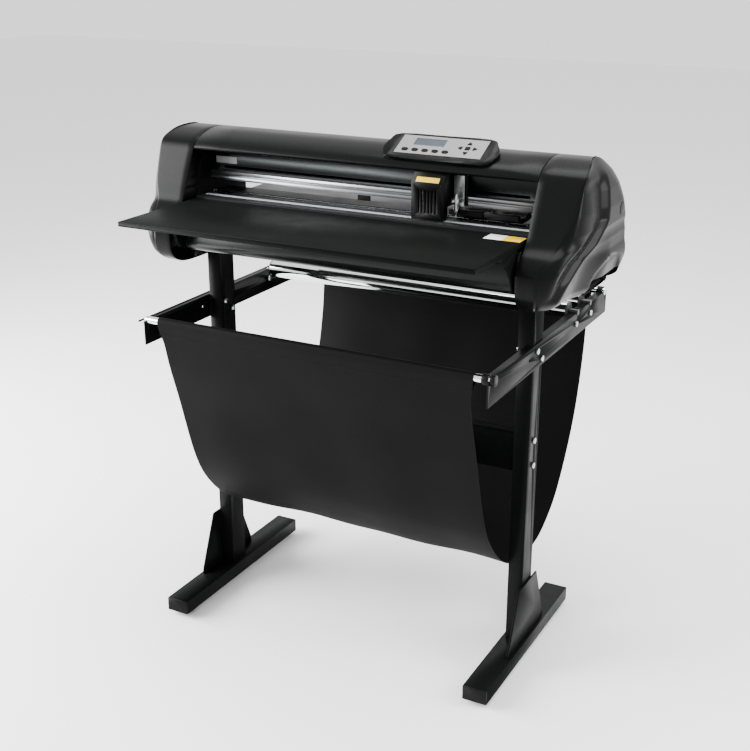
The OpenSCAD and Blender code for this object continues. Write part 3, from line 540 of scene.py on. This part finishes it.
def grid_faces(rows, columns, closed_columns=False):
    """Quads between neighbouring rows of points."""
    last = columns if closed_columns else columns - 1
    return [
        (r * columns + c, r * columns + (c + 1) % columns,
         (r + 1) * columns + (c + 1) % columns, (r + 1) * columns + c)
        for r in range(rows - 1) for c in range(last)]


# ---------- geometry nodes ----------


class Tree:
    """A Geometry Nodes tree with one Geometry input and named sizes."""

    def __init__(self, name, **inputs):
        self.tree = bpy.data.node_groups.new(name, "GeometryNodeTree")
        face = self.tree.interface
        face.new_socket("Geometry", in_out="INPUT", socket_type="NodeSocketGeometry")
        face.new_socket("Geometry", in_out="OUTPUT", socket_type="NodeSocketGeometry")
        self.ids = {}
        for key, value in inputs.items():
            kind = "NodeSocketInt" if isinstance(value, int) else "NodeSocketFloat"
            socket = face.new_socket(key.replace("_", " "), in_out="INPUT", socket_type=kind)
            socket.default_value = value
            self.ids[socket.identifier] = value
        self.source = self.tree.nodes.new("NodeGroupInput")
        self.sink = self.tree.nodes.new("NodeGroupOutput")

    def node(self, kind, **attributes):
        new = self.tree.nodes.new(kind)
        for key, value in attributes.items():
            setattr(new, key, value)
        return new

    def join(self, a, b):
        self.tree.links.new(a, b)

    def finish(self, geometry, finish):
        """Ends the tree in Realize Instances and Set Material."""
        realize = self.node("GeometryNodeRealizeInstances")
        paint = self.node("GeometryNodeSetMaterial")
        paint.inputs["Material"].default_value = FINISHES[finish]
        self.join(geometry, realize.inputs["Geometry"])
        self.join(realize.outputs["Geometry"], paint.inputs["Geometry"])
        self.join(paint.outputs["Geometry"], self.sink.inputs["Geometry"])

    def apply(self, name, points, normals, finish, angle=40):
        """Runs the tree on loose points with outward directions and keeps the plain mesh."""
        mesh = bpy.data.meshes.new(name)
        mesh.from_pydata([tuple(p) for p in points], [], [])
        outward = mesh.attributes.new("outward", "FLOAT_VECTOR", "POINT")
        outward.data.foreach_set("vector", np.array(normals, float).ravel())
        piece = bpy.data.objects.new(name, mesh)
        bpy.context.collection.objects.link(piece)
        modifier = piece.modifiers.new("repeat", "NODES")
        modifier.node_group = self.tree
        for identifier, value in self.ids.items():
            modifier[identifier] = value
        bake_modifiers(piece)
        if not piece.data.materials:
            piece.data.materials.append(FINISHES[finish])
        shade(piece, angle)
        return piece

    def on_points(self, instance):
        """Instances of one mesh on the input points, each turned to its outward direction."""
        points = self.node("GeometryNodeMeshToPoints")
        self.join(self.source.outputs["Geometry"], points.inputs["Mesh"])
        outward = self.node("GeometryNodeInputNamedAttribute", data_type="FLOAT_VECTOR")
        outward.inputs["Name"].default_value = "outward"
        turn = self.node("FunctionNodeAlignRotationToVector", axis="Z")
        self.join(outward.outputs["Attribute"], turn.inputs["Vector"])
        spread = self.node("GeometryNodeInstanceOnPoints")
        self.join(points.outputs["Points"], spread.inputs["Points"])
        self.join(instance, spread.inputs["Instance"])
        self.join(turn.outputs["Rotation"], spread.inputs["Rotation"])
        return spread


def screw_heads(name, points, normals, diameter, finish="steel"):
    """Domed screw heads with a socket, one on each point."""
    tree = Tree("screw_heads", Head_diameter=diameter)
    radius = tree.node("ShaderNodeMath", operation="MULTIPLY")
    radius.inputs[1].default_value = 0.5
    tree.join(tree.source.outputs["Head diameter"], radius.inputs[0])
    parts = []
    for share, height, centre in ((1.0, 0.24, 0.12), (0.82, 0.16, 0.30), (0.42, 0.06, 0.40)):
        cone = tree.node("GeometryNodeMeshCone")
        cone.inputs["Vertices"].default_value = 20 if share > 0.5 else 6
        for socket, part in (("Radius Bottom", share), ("Radius Top", share * 0.82), ("Depth", height)):
            size = tree.node("ShaderNodeMath", operation="MULTIPLY")
            size.inputs[1].default_value = part if socket != "Depth" else part * 2
            tree.join(radius.outputs[0], size.inputs[0])
            tree.join(size.outputs[0], cone.inputs[socket])
        lift = tree.node("GeometryNodeTransform")
        place = tree.node("ShaderNodeCombineXYZ")
        rise = tree.node("ShaderNodeMath", operation="MULTIPLY")
        rise.inputs[1].default_value = (centre - height / 2) * 2 * 0.9
        tree.join(radius.outputs[0], rise.inputs[0])
        tree.join(rise.outputs[0], place.inputs["Z"])
        tree.join(cone.outputs["Mesh"], lift.inputs["Geometry"])
        tree.join(place.outputs[0], lift.inputs["Translation"])
        parts.append(lift.outputs["Geometry"])
    head = tree.node("GeometryNodeJoinGeometry")
    for part in parts:
        tree.join(part, head.inputs["Geometry"])
    spread = tree.on_points(head.outputs["Geometry"])
    tree.finish(spread.outputs["Instances"], finish)
    return tree.apply(name, points, normals, finish)


def small_blocks(name, points, normals, size, finish):
    """A small block on each point, size given as length across, length along and height."""
    tree = Tree("small_blocks", Across=size[0], Along=size[1], Height=size[2])
    extent = tree.node("ShaderNodeCombineXYZ")
    for socket, key in (("X", "Across"), ("Y", "Along"), ("Z", "Height")):
        tree.join(tree.source.outputs[key], extent.inputs[socket])
    block = tree.node("GeometryNodeMeshCube")
    tree.join(extent.outputs[0], block.inputs["Size"])
    spread = tree.on_points(block.outputs["Mesh"])
    tree.finish(spread.outputs["Instances"], finish)
    return tree.apply(name, points, normals, finish, 30)


def grit_grains(name, points, normals, size, finish):
    """A rough grain on each point, sized by a fixed seed and turned to its outward direction."""
    tree = Tree("grit_grains", Grain_size=size, Seed=SEED)
    grain = tree.node("GeometryNodeMeshIcoSphere")
    tree.join(tree.source.outputs["Grain size"], grain.inputs["Radius"])
    spread = tree.on_points(grain.outputs["Mesh"])
    vary = tree.node("FunctionNodeRandomValue", data_type="FLOAT")
    vary.inputs[2].default_value = 0.6
    vary.inputs[3].default_value = 1.3
    tree.join(tree.source.outputs["Seed"], vary.inputs["Seed"])
    tree.join(vary.outputs[1], spread.inputs["Scale"])
    tree.finish(spread.outputs["Instances"], finish)
    return tree.apply(name, points, normals, finish, 20)


# ---------- covers ----------

# Stations round a cover, in mm: y from the stand's middle, height above the underside, the crease's
# distance from the machine's middle, the depth of the rounded corner, and the depth of the crease
COVER_STATIONS = [
    (-153, 34, 419, 24, 3.6), (-156, 69, 419, 28, 4.2), (-150, 87, 421, 34, 3.4),
    (-134, 106, 431, 48, 1.6), (-107, 128, 443, 62, 3.2), (-88, 167, 457, 72, 4.2),
    (-72, 203, 462, 70, 4.0), (-57, 234, 465, 56, 3.0), (-42, 249, 466, 46, 1.4),
    (-14, 260, 462, 42, 0.4), (18, 266, 454, 40, 0), (60, 264, 450, 42, 0), (102, 248, 448, 44, 0),
    (136, 213, 448, 44, 0), (160, 168, 448, 40, 0), (170, 122, 446, 32, 0), (170, 76, 442, 24, 0),
    (161, 34, 434, 18, 0), (134, 7, 424, 14, 0), (80, 0, 416, 14, 0), (0, 0, 408, 16, 0),
    (-95, 1, 404, 20, 0.6), (-135, 12, 412, 22, 2.2)]
# How far out the end faces reach at each height above the underside
SIDE_REACH = [(0, 418), (12, 440), (27, 452), (64, 463), (95, 472), (117, 483), (143, 490),
              (177, 490), (213, 486), (238, 478), (254, 465), (268, 446)]
# The fold that divides the end face, as height and y
FOLD_LINE = [(30, -146), (59, -123), (100, -73), (128, -32), (156, 2), (215, 6), (245, 12)]
# How much fuller the end face is low down at the rear
REAR_FILL = 26
# The end face never reaches past the machine's side
FULL_REACH = 490
FOLD_DEPTH = 13
FOLD_WIDTH = 34
COVER_CENTRE = (8, 132)
LIP_STATION = 7
REAR_STATION = 14
COVER_STEPS = 10
ARCH = (72, 36, 66, 46)
ARCH_DEPTH = 5
CAP_AT = (110, 162)
CAP_RADIUS = 13.5


def end_face(y, z, arch):
    """Distance of the end face from the machine's middle at a place, in mm."""
    heights, reaches = zip(*SIDE_REACH)
    reach = float(np.interp(z, heights, reaches))
    fill = REAR_FILL * smooth_step(-60, 60, y) * (1 - smooth_step(60, 140, z))
    reach = min(reach + fill, FULL_REACH)
    fold_heights, fold_ys = zip(*FOLD_LINE)
    behind = y - float(np.interp(z, fold_heights, fold_ys))
    fade = 1 - smooth_step(215, 255, z)
    reach -= FOLD_DEPTH * (1 - smooth_step(0, FOLD_WIDTH, behind)) * fade
    if arch:
        inside = 1 - math.hypot((y - ARCH[0]) / ARCH[2], (z - ARCH[1]) / ARCH[3])
        reach -= ARCH_DEPTH * smooth_step(0, 0.12, inside)
    return reach


def cover_section(station, arch):
    """Points of one section of an end cover, from the opening out to the end face's middle."""
    y, z, crease, depth, step = station
    inward = np.array(COVER_CENTRE) - (y, z)
    length = np.linalg.norm(inward)
    inward = inward / length

    def at(t):
        return y + inward[0] * t, z + inward[1] * t

    opening = OPENING / MM
    section = [(opening + 0.3, 1.2), (opening + 0.6, 0.4), (opening + 1.4, 0)]
    section += [(opening + 1.4 + (crease - opening - 3.4) * k / 5, 0) for k in range(1, 6)]
    section += [(crease - 1.2, 0.02), (crease - 0.5, 0.12 * step), (crease + 1.8, 0.88 * step),
                (crease + 2.6, step)]
    start = crease + 2.6
    for k in range(1, 17):
        turn = k / 16 * math.pi / 2
        t = step + (depth - step) * (1 - math.cos(turn))
        face = end_face(*at(t), arch)
        section.append((start + (face - start) * math.sin(turn), t))
    for k in range(1, 30):
        t = depth + (length - depth) * (k / 30)
        section.append((end_face(*at(t), arch), t))
    return [(x, *at(t)) for x, t in section]


def cover_stations():
    return smooth_loop(COVER_STATIONS, COVER_STEPS)


def end_cover(side):
    """The moulded cover at one end: the left one is side -1, the right one side 1."""
    name = "right_end_cover" if side > 0 else "left_end_cover"
    sections = [cover_section(row, side > 0) for row in cover_stations()]
    count, length = len(sections), len(sections[0])
    verts = [
        (side * x * MM, y * MM + STAND_Y, UNDERSIDE + z * MM)
        for section in sections for x, y, z in section]
    faces = []
    for i in range(count):
        a, b = i * length, ((i + 1) % count) * length
        faces += [(a + k, b + k, b + k + 1, a + k + 1) for k in range(length - 1)]
    centre = len(verts)
    middle = end_face(*COVER_CENTRE, side > 0)
    verts.append((side * middle * MM, COVER_CENTRE[0] * MM + STAND_Y, UNDERSIDE + COVER_CENTRE[1] * MM))
    faces += [
        (i * length + length - 1, ((i + 1) % count) * length + length - 1, centre)
        for i in range(count)]
    piece = new_object(name, verts, faces, "cover", 38)
    turn_outwards(piece, Vector((side * 0.4, STAND_Y, UNDERSIDE + 0.13)))
    wall = piece.modifiers.new("wall", "SOLIDIFY")
    wall.thickness = sizes().cover_wall
    wall.offset = -1
    bake_modifiers(piece)
    return piece


def turn_outwards(piece, inside):
    """Points the faces of an open shell away from a place inside it."""
    mesh = bmesh.new()
    mesh.from_mesh(piece.data)
    bmesh.ops.remove_doubles(mesh, verts=mesh.verts, dist=1e-7)
    bmesh.ops.recalc_face_normals(mesh, faces=mesh.faces)
    away = sum((f.calc_center_median() - inside).dot(f.normal) * f.calc_area() for f in mesh.faces)
    if away < 0:
        bmesh.ops.reverse_faces(mesh, faces=mesh.faces)
    mesh.to_mesh(piece.data)
    mesh.free()
    shade(piece, 38)


NOTCH_Y = 118
NOTCH_W = 34
NOTCH_Z = (88, 162)


def rear_notch(side):
    """The cut in a cover's inner rear edge, level with the media slot, as two corners in metres."""
    xs = sorted(side * (OPENING + reach * MM) for reach in (-3, NOTCH_W))
    low = [xs[0], NOTCH_Y * MM + STAND_Y, UNDERSIDE + NOTCH_Z[0] * MM]
    high = [xs[1], (NOTCH_Y + 120) * MM + STAND_Y, UNDERSIDE + NOTCH_Z[1] * MM]
    return low, high


RECESS_LOW = (428, 8, 12)
RECESS_HIGH = (520, 142, 40)
RECESS_DEPTH = 30
RECESS_WALL = 1.6


def recess_box(grow):
    """The socket recess as two corners in metres, grown on every side but the outer one."""
    low = [(RECESS_LOW[0] - grow) * MM, (RECESS_LOW[1] - grow) * MM + STAND_Y,
           UNDERSIDE + (RECESS_LOW[2] - grow) * MM]
    high = [RECESS_HIGH[0] * MM, (RECESS_HIGH[1] + grow) * MM + STAND_Y,
            UNDERSIDE + (RECESS_HIGH[2] + grow) * MM]
    return low, high


def cut_with_box(piece, low, high):
    """Takes a box out of a piece."""
    corners, faces = box_faces(low, high)
    cutter = new_object("cutter", corners, faces, "dark")
    hole = piece.modifiers.new("hole", "BOOLEAN")
    hole.operation = "DIFFERENCE"
    hole.solver = "EXACT"
    hole.object = cutter
    bake_modifiers(piece)
    bpy.data.objects.remove(cutter)
    shade(piece, 38)


def recess_tub():
    """The walls and floor of the socket recess."""
    (x0, y0, z0), _ = recess_box(0.1)
    _, (_, y1, z1) = recess_box(0.1)
    x1 = x0 + RECESS_DEPTH * MM
    corners, faces = box_faces((x0, y0, z0), (x1, y1, z1))
    piece = new_object("socket_recess", corners, faces[:5], "dark", 30)
    mesh = bmesh.new()
    mesh.from_mesh(piece.data)
    bmesh.ops.reverse_faces(mesh, faces=mesh.faces)
    mesh.to_mesh(piece.data)
    mesh.free()
    wall = piece.modifiers.new("wall", "SOLIDIFY")
    wall.thickness = RECESS_WALL * MM
    wall.offset = -1
    return bake_modifiers(piece)


def cover_cap():
    """The round flush cap on the right end cover."""
    y, z = CAP_AT
    x = end_face(y, z, True)
    radius, steps = CAP_RADIUS, 48
    rows = [(x - 2.5, radius), (x + 0.1, radius), (x + 0.6, radius - 0.5), (x + 0.9, radius - 4),
            (x + 1.0, 0.01)]
    verts = [
        (px * MM, (y + r * math.cos(2 * math.pi * k / steps)) * MM + STAND_Y,
         UNDERSIDE + (z + r * math.sin(2 * math.pi * k / steps)) * MM)
        for px, r in rows for k in range(steps)]
    faces = grid_faces(len(rows), steps, True)
    faces.append(tuple(range(steps - 1, -1, -1)))
    faces.append(tuple((len(rows) - 1) * steps + k for k in range(steps)))
    piece = new_object("cover_cap", verts, faces, "cover", 30)
    turn_outwards(piece, Vector((0.4, y * MM + STAND_Y, UNDERSIDE + z * MM)))
    return piece


def top_cover():
    """The curved top cover with a rolled lip over the opening."""
    rows = cover_stations()[LIP_STATION * COVER_STEPS:REAR_STATION * COVER_STEPS + 1]
    path = [(y, z) for y, z, *_ in rows]
    first = np.array(path[0])
    lip = [tuple(first + d) for d in ((9.0, -6.5), (4.5, -5.6), (1.4, -4.2), (0.1, -2.2))]
    path = lip + path
    half = OPENING - sizes().seam_round * 0.3
    stops = [-half, -half + 0.0012] + [half * (k / 6) for k in range(-5, 6)] + [half - 0.0012, half]
    verts = [
        (x, y * MM + STAND_Y, UNDERSIDE + z * MM - (0.0006 if abs(x) == half else 0))
        for y, z in path for x in stops]
    piece = new_object("top_cover_finished", verts, grid_faces(len(path), len(stops)), "cover", 45)
    turn_outwards(piece, Vector((0, STAND_Y + 0.04, UNDERSIDE + 0.1)))
    wall = piece.modifiers.new("wall", "SOLIDIFY")
    wall.thickness = sizes().cover_wall
    wall.offset = -1
    bake_modifiers(piece)
    return piece


# ---------- basket ----------

BASKET_POINTS = [(-255.8, 698), (-235, 608), (-207, 520), (-160, 372), (-112, 292), (-40, 226),
                 (40, 193.5), (110, 191.5), (180, 208), (262, 268), (346, 402), (392, 560),
                 (403.8, 698)]
ROD_YS = (-246, 394)
ROD_Z = 698
WRAP_R = 9.1
# The cloth is wider at the rods, and draws in to its full length below them
FLARE = 8
FLARE_DROP = 55


def basket_path(hem):
    """The cloth's run in y and z, from the front hem round both rods to the rear hem, in mm."""
    body = smooth_line(BASKET_POINTS, 10)
    turns = np.linspace(0, math.pi, 13)
    front = [(ROD_YS[0] + WRAP_R * math.cos(t), ROD_Z + WRAP_R * math.sin(t)) for t in turns]
    rear = [(ROD_YS[1] - WRAP_R * math.cos(t), ROD_Z + WRAP_R * math.sin(t)) for t in turns[::-1]]
    drop = [(ROD_YS[0] + WRAP_R - 10.5 * s, ROD_Z - hem * s) for s in np.linspace(1, 0.1, 7)]
    back = [(ROD_YS[1] - WRAP_R + 7.5 * s, ROD_Z - hem * s) for s in np.linspace(0.1, 1, 7)]
    path = drop + front[:-1] + [tuple(p) for p in body[1:-1]] + rear[1:] + back
    return np.array(path)


def slack(u, v, length):
    """How far the cloth stands off its run, in mm: broad folds that fade at the rods."""
    hold = smooth_step(0.06, 0.25, v / length) * (1 - smooth_step(0.80, 0.95, v / length))
    broad = 1.6 * math.sin(5.2 * u + 3.1 * v / length * 2 + 0.6)
    broad += 1.0 * math.sin(11.0 * u - 5.0 * v / length + 1.7)
    edge = 2.2 * (abs(u) ** 6)
    return hold * (broad - edge)


def basket():
    """The catch basket's cloth: one sheet sewn round the two rods."""
    path = basket_path(sizes().hem / MM)
    run = np.concatenate([[0], np.cumsum(np.linalg.norm(np.diff(path, axis=0), axis=1))])
    length = float(run[-1])
    tangent = np.gradient(path, axis=0)
    tangent /= np.linalg.norm(tangent, axis=1)[:, None]
    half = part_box("basket_fabric")[1][0] - FLARE * MM - 0.0005
    columns = 61
    verts, coords = [], []
    for (y, z), v, (ty, tz) in zip(path, run, tangent):
        wide = half + FLARE * MM * (1 - smooth_step(0, FLARE_DROP, ROD_Z - z))
        for k in range(columns):
            u = 2 * k / (columns - 1) - 1
            off = slack(u, v, length)
            verts.append((u * wide, (y - tz * off) * MM + STAND_Y, (z + ty * off) * MM))
            coords.append((u * half, v * MM))
    faces = grid_faces(len(path), columns)
    piece = new_object("catch_basket", verts, faces, "cloth", 60)
    layer = piece.data.uv_layers.new(name="cloth")
    for loop in piece.data.loops:
        layer.data[loop.index].uv = coords[loop.vertex_index]
    wall = piece.modifiers.new("cloth", "SOLIDIFY")
    wall.thickness = sizes().cloth_t
    wall.offset = 0
    bake_modifiers(piece)
    shade(piece, 60)
    return piece, (half + FLARE * MM) * 2, length * MM


def hem_stitches(half):
    """One row of stitches under each rod, on the outer side of the cloth."""
    points, normals = [], []
    pitch = sizes().stitch_pitch
    count = int(2 * half / pitch)
    level = (ROD_Z - sizes().hem / MM + 4) * MM
    for y, out in ((-249.9, -1), (402.4, 1)):
        for k in range(count):
            points.append((-half + pitch * (k + 0.5), y * MM + STAND_Y + out * 0.0009, level))
            normals.append((0, out, 0))
    return small_blocks("hem_stitches", points, normals, (pitch * 0.62, 0.0006, 0.0006), "thread")


# ---------- operators ----------


class CUTTER_OT_finishes(bpy.types.Operator):
    """Makes every finish that the other steps use"""

    bl_idname = "cutter.finishes"
    bl_label = "Make finishes"

    def execute(self, context):
        make_finishes()
        return {"FINISHED"}


class CUTTER_OT_stand(bpy.types.Operator):
    """Finishes the feet, legs, gussets, cross beam, arms and their bolts"""

    bl_idname = "cutter.stand"
    bl_label = "Stand and arms"

    def execute(self, context):
        finish_group(
            "foot_bars", "foot_end_caps", "leveling_feet", "legs", "gusset_plates", "cross_beam",
            "stand_bolts", "arm_left", "arm_right", "basket_rods", "basket_rod_caps",
            "media_roller_front", "media_roller_rear")
        return {"FINISHED"}


class CUTTER_OT_basket(bpy.types.Operator):
    """Hangs the cloth catch basket from its two rods"""

    bl_idname = "cutter.basket"
    bl_label = "Catch basket"

    def execute(self, context):
        cloth, width, length = basket()
        stitches = hem_stitches(width / 2)
        settle(cloth, "machine", "fabric", "basket_fabric")
        settle(stitches, "machine", "fabric")
        return {"FINISHED"}


class CUTTER_OT_covers(bpy.types.Operator):
    """Moulds the two end covers and the top cover"""

    bl_idname = "cutter.covers"
    bl_label = "Covers"

    def execute(self, context):
        left = end_cover(-1)
        right = end_cover(1)
        cut_with_box(right, *recess_box(0))
        cut_with_box(left, *rear_notch(-1))
        cut_with_box(right, *rear_notch(1))
        settle(left, "machine", "black_cover", "end_cover_left")
        settle(right, "machine", "black_cover", "end_cover_right")
        settle(top_cover(), "machine", "black_cover", "top_cover")
        settle(recess_tub(), "machine", "black_plastic")
        settle(cover_cap(), "machine", "black_cover")
        return {"FINISHED"}


class CUTTER_OT_tables(bpy.types.Operator):
    """Finishes the tables, the platen, the base and the side frames"""

    bl_idname = "cutter.tables"
    bl_label = "Tables and base"

    def execute(self, context):
        finish_group(
            "front_table", "rear_table", "table_brackets", "platen", "cutting_strip", "base_beam",
            "base_knob", "side_plates")
        return {"FINISHED"}


class CUTTER_OT_drive(bpy.types.Operator):
    """Finishes the rails, shaft, belts, pulleys, motors and pinch rollers"""

    bl_idname = "cutter.drive"
    bl_label = "Drive"

    def execute(self, context):
        finish_group(
            "rail_beam", "guide_rail", "grit_shaft", "shaft_bearings", "drive_motors", "feed_belt",
            "feed_shaft_pulley", "feed_motor_pulley", "carriage_belt", "belt_drive_pulley",
            "belt_idler_pulley", "pinch_arm_left", "pinch_arm_right", "pinch_roller_left",
            "pinch_roller_right")
        settle(shaft_grit(), "grit_shaft", "shaft_steel")
        settle(rail_window(), "machine", "black_plastic")
        return {"FINISHED"}


GRIT_X = (-300, -180, -60, 60, 225.95, 299.05)


def shaft_grit():
    """Grit on the bands of the feed shaft."""
    low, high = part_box("grit_shaft")
    centre_y = (low[1] + high[1]) / 2
    centre_z = (low[2] + high[2]) / 2
    radius = (high[2] - low[2]) / 2 - 0.00005
    dice = random.Random(SEED)
    points, normals = [], []
    for x in GRIT_X:
        for _ in range(sizes().grit_count):
            turn = dice.uniform(0, 2 * math.pi)
            out = (0, math.cos(turn), math.sin(turn))
            along = x * MM + dice.uniform(-0.0105, 0.0105)
            points.append((along, centre_y + radius * out[1], centre_z + radius * out[2]))
            normals.append(out)
    return grit_grains("shaft_grit", points, normals, 0.0003, "grit")


def rail_window():
    """The small framed sensor window on the rail."""
    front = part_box("guide_rail")[0][1]
    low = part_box("guide_rail")[0][2]
    return rounded_box(
        "rail_window", (-0.016, front - 0.0012, low + 0.0075), (0.013, front + 0.001, low + 0.0180),
        "dark", 0.0006)


class CUTTER_OT_carriage(bpy.types.Operator):
    """Finishes the carriage, its tool slide and the blade holder"""

    bl_idname = "cutter.carriage"
    bl_label = "Carriage"

    def execute(self, context):
        finish_group("carriage_plate", "carriage_cover", "tool_slide", "blade_holder")
        low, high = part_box("carriage_cover")
        screw_inset = 0.006
        columns = (low[0] + screw_inset, high[0] - screw_inset)
        rows = (low[2] + screw_inset, high[2] - 0.022)
        corners = [(x, z) for x in columns for z in rows]
        screws = screw_heads(
            "carriage_screws", [(x, low[1], z) for x, z in corners], [(0, -1, 0)] * 4,
            sizes().screw_d * 0.6, "dark_rail")
        settle(screws, "carriage", "steel")
        low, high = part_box("tool_slide")
        middle = (low[0] + high[0]) / 2
        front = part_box("carriage_plate")[0][1] - 0.007
        spots = [(middle + dx, front, low[2] + dz) for dx, dz in
                 ((0.007, 0.014), (-0.006, 0.030), (0.004, 0.040))]
        settle(
            screw_heads("tool_screws", spots, [(0, -1, 0)] * len(spots), sizes().screw_d * 0.7),
            "tool_slide", "steel")
        return {"FINISHED"}


class CUTTER_OT_panel(bpy.types.Operator):
    """Finishes the control panel and its keys, and the sockets"""

    bl_idname = "cutter.panel"
    bl_label = "Panel and sockets"

    def execute(self, context):
        finish_group("panel_housing", "panel_face", "panel_screen", *KEYS, "power_inlet",
                     "power_switch", "data_sockets")
        return {"FINISHED"}


STICKER_T = 0.0002
STICKER_ROUND = 0.00008


class CUTTER_OT_labels(bpy.types.Operator):
    """Puts on the plain stickers and the rail plate"""

    bl_idname = "cutter.labels"
    bl_label = "Stickers and screws"

    def execute(self, context):
        low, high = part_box("carriage_cover")
        slope_sticker = rounded_box(
            "carriage_sticker", (low[0] + 0.009, low[1] - 0.0002, high[2] - 0.0168),
            (high[0] - 0.011, low[1] + 0.0001, high[2] - 0.0062), "yellow", STICKER_ROUND)
        lean_back(slope_sticker, low[1], high[2] - 0.018)
        settle(slope_sticker, "carriage", "black_plastic")
        front, rear = STAND_Y - 0.115, STAND_Y - 0.078
        for name, x0, x1, finish in (
                ("deck_sticker_white", 0.300, 0.335, "white"),
                ("deck_sticker_yellow", 0.335, 0.372, "yellow")):
            label = rounded_box(
                name, (x0, front, DECK), (x1, rear, DECK + STICKER_T), finish, STICKER_ROUND)
            settle(label, "machine", "table_black")
        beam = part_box("rail_beam")
        plate = rounded_box(
            "rail_plate", (-0.365, beam[0][1] - 0.0004, beam[0][2] + 0.015),
            (-0.313, beam[0][1] + 0.0002, beam[0][2] + 0.029), "pale", 0.0001)
        settle(plate, "machine", "silver_face")
        return {"FINISHED"}


def lean_back(piece, front, edge):
    """Tips a sticker back onto the carriage cover's sloped top edge."""
    slope = math.atan2(14, 18)
    for vertex in piece.data.vertices:
        rise = vertex.co.z - edge
        out = vertex.co.y - front
        vertex.co.y = front + math.sin(slope) * rise + math.cos(slope) * out
        vertex.co.z = edge + math.cos(slope) * rise - math.sin(slope) * out


def soft_light(name, place, target, width, height, power):
    """A rectangular studio light aimed at a point."""
    data = bpy.data.lights.new(name, "AREA")
    data.shape = "RECTANGLE"
    data.size = width
    data.size_y = height
    data.energy = power
    light = bpy.data.objects.new(name, data)
    light.location = place
    light.rotation_euler = (Vector(target) - Vector(place)).to_track_quat("-Z", "Y").to_euler()
    bpy.context.collection.objects.link(light)


# The camera: focal length and sensor width in mm, place, and angles below level and round the machine
LENS = 58.2
SENSOR = 36
CAMERA_AT = (1.1435, -2.1194 + STAND_Y, 1.4442)
CAMERA_DOWN = 20.11
CAMERA_TURN = 28.01
FLOOR_HALF = 12


class CUTTER_OT_stage(bpy.types.Operator):
    """Sets the floor, the lights and the camera"""

    bl_idname = "cutter.stage"
    bl_label = "Stage"

    def execute(self, context):
        ring = ((-1, -1), (1, -1), (1, 1), (-1, 1))
        corners = [(FLOOR_HALF * x, FLOOR_HALF * y, 0) for x, y in ring]
        mesh = bpy.data.meshes.new("floor")
        mesh.from_pydata(corners, [], [(0, 1, 2, 3)])
        floor = bpy.data.objects.new("floor", mesh)
        bpy.context.collection.objects.link(floor)
        mesh.materials.append(Recipe("studio_floor", (0.92, 0.92, 0.92), 0.9).material)
        world = bpy.data.worlds.new("studio")
        world.use_nodes = True
        backdrop = world.node_tree.nodes["Background"]
        backdrop.inputs["Color"].default_value = (1, 1, 1, 1)
        backdrop.inputs["Strength"].default_value = 1.5
        context.scene.world = world
        middle = (0, 0, 0.6)
        soft_light("key_light", (-2.8, -2.1, 2.1), middle, 1.6, 2.6, 300)
        soft_light("top_light", (0.2, 0.2, 3.4), middle, 2.6, 1.6, 110)
        soft_light("right_light", (2.8, 0.4, 1.8), middle, 1.0, 2.0, 90)
        soft_light("left_light", (-2.6, -0.6, 1.05), (-0.47, -0.15, 0.97), 1.3, 1.5, 170)
        camera_data = bpy.data.cameras.new("view")
        camera_data.lens = LENS
        camera_data.sensor_width = SENSOR
        camera = bpy.data.objects.new("view", camera_data)
        camera.location = CAMERA_AT
        camera.rotation_euler = (math.radians(90 - CAMERA_DOWN), 0, math.radians(CAMERA_TURN))
        context.collection.objects.link(camera)
        context.scene.camera = camera
        return {"FINISHED"}


STEPS = (
    "finishes", "stand", "basket", "covers", "tables", "drive", "carriage", "panel", "labels",
    "stage")


class CUTTER_PT_panel(bpy.types.Panel):
    """Lists the building steps, sizes and colours"""

    bl_idname = "CUTTER_PT_panel"
    bl_label = "Vinyl cutter"
    bl_space_type = "VIEW_3D"
    bl_region_type = "UI"
    bl_category = "Cutter"

    def draw(self, context):
        for group in (context.scene.cutter_sizes, context.scene.cutter_colours):
            for key in group.__annotations__:
                self.layout.prop(group, key)
        for step in STEPS:
            self.layout.operator("cutter." + step)


CLASSES = (
    CutterSizes, CutterColours, CUTTER_OT_finishes, CUTTER_OT_stand, CUTTER_OT_basket,
    CUTTER_OT_covers, CUTTER_OT_tables, CUTTER_OT_drive, CUTTER_OT_carriage, CUTTER_OT_panel,
    CUTTER_OT_labels, CUTTER_OT_stage, CUTTER_PT_panel)


def register():
    for item in CLASSES:
        bpy.utils.register_class(item)
    bpy.types.Scene.cutter_sizes = PointerProperty(type=CutterSizes)
    bpy.types.Scene.cutter_colours = PointerProperty(type=CutterColours)


def unregister():
    del bpy.types.Scene.cutter_colours
    del bpy.types.Scene.cutter_sizes
    for item in reversed(CLASSES):
        bpy.utils.unregister_class(item)


def main():
    register()
    for step in STEPS:
        getattr(bpy.ops.cutter, step)()


if __name__ == "__main__":
    main()
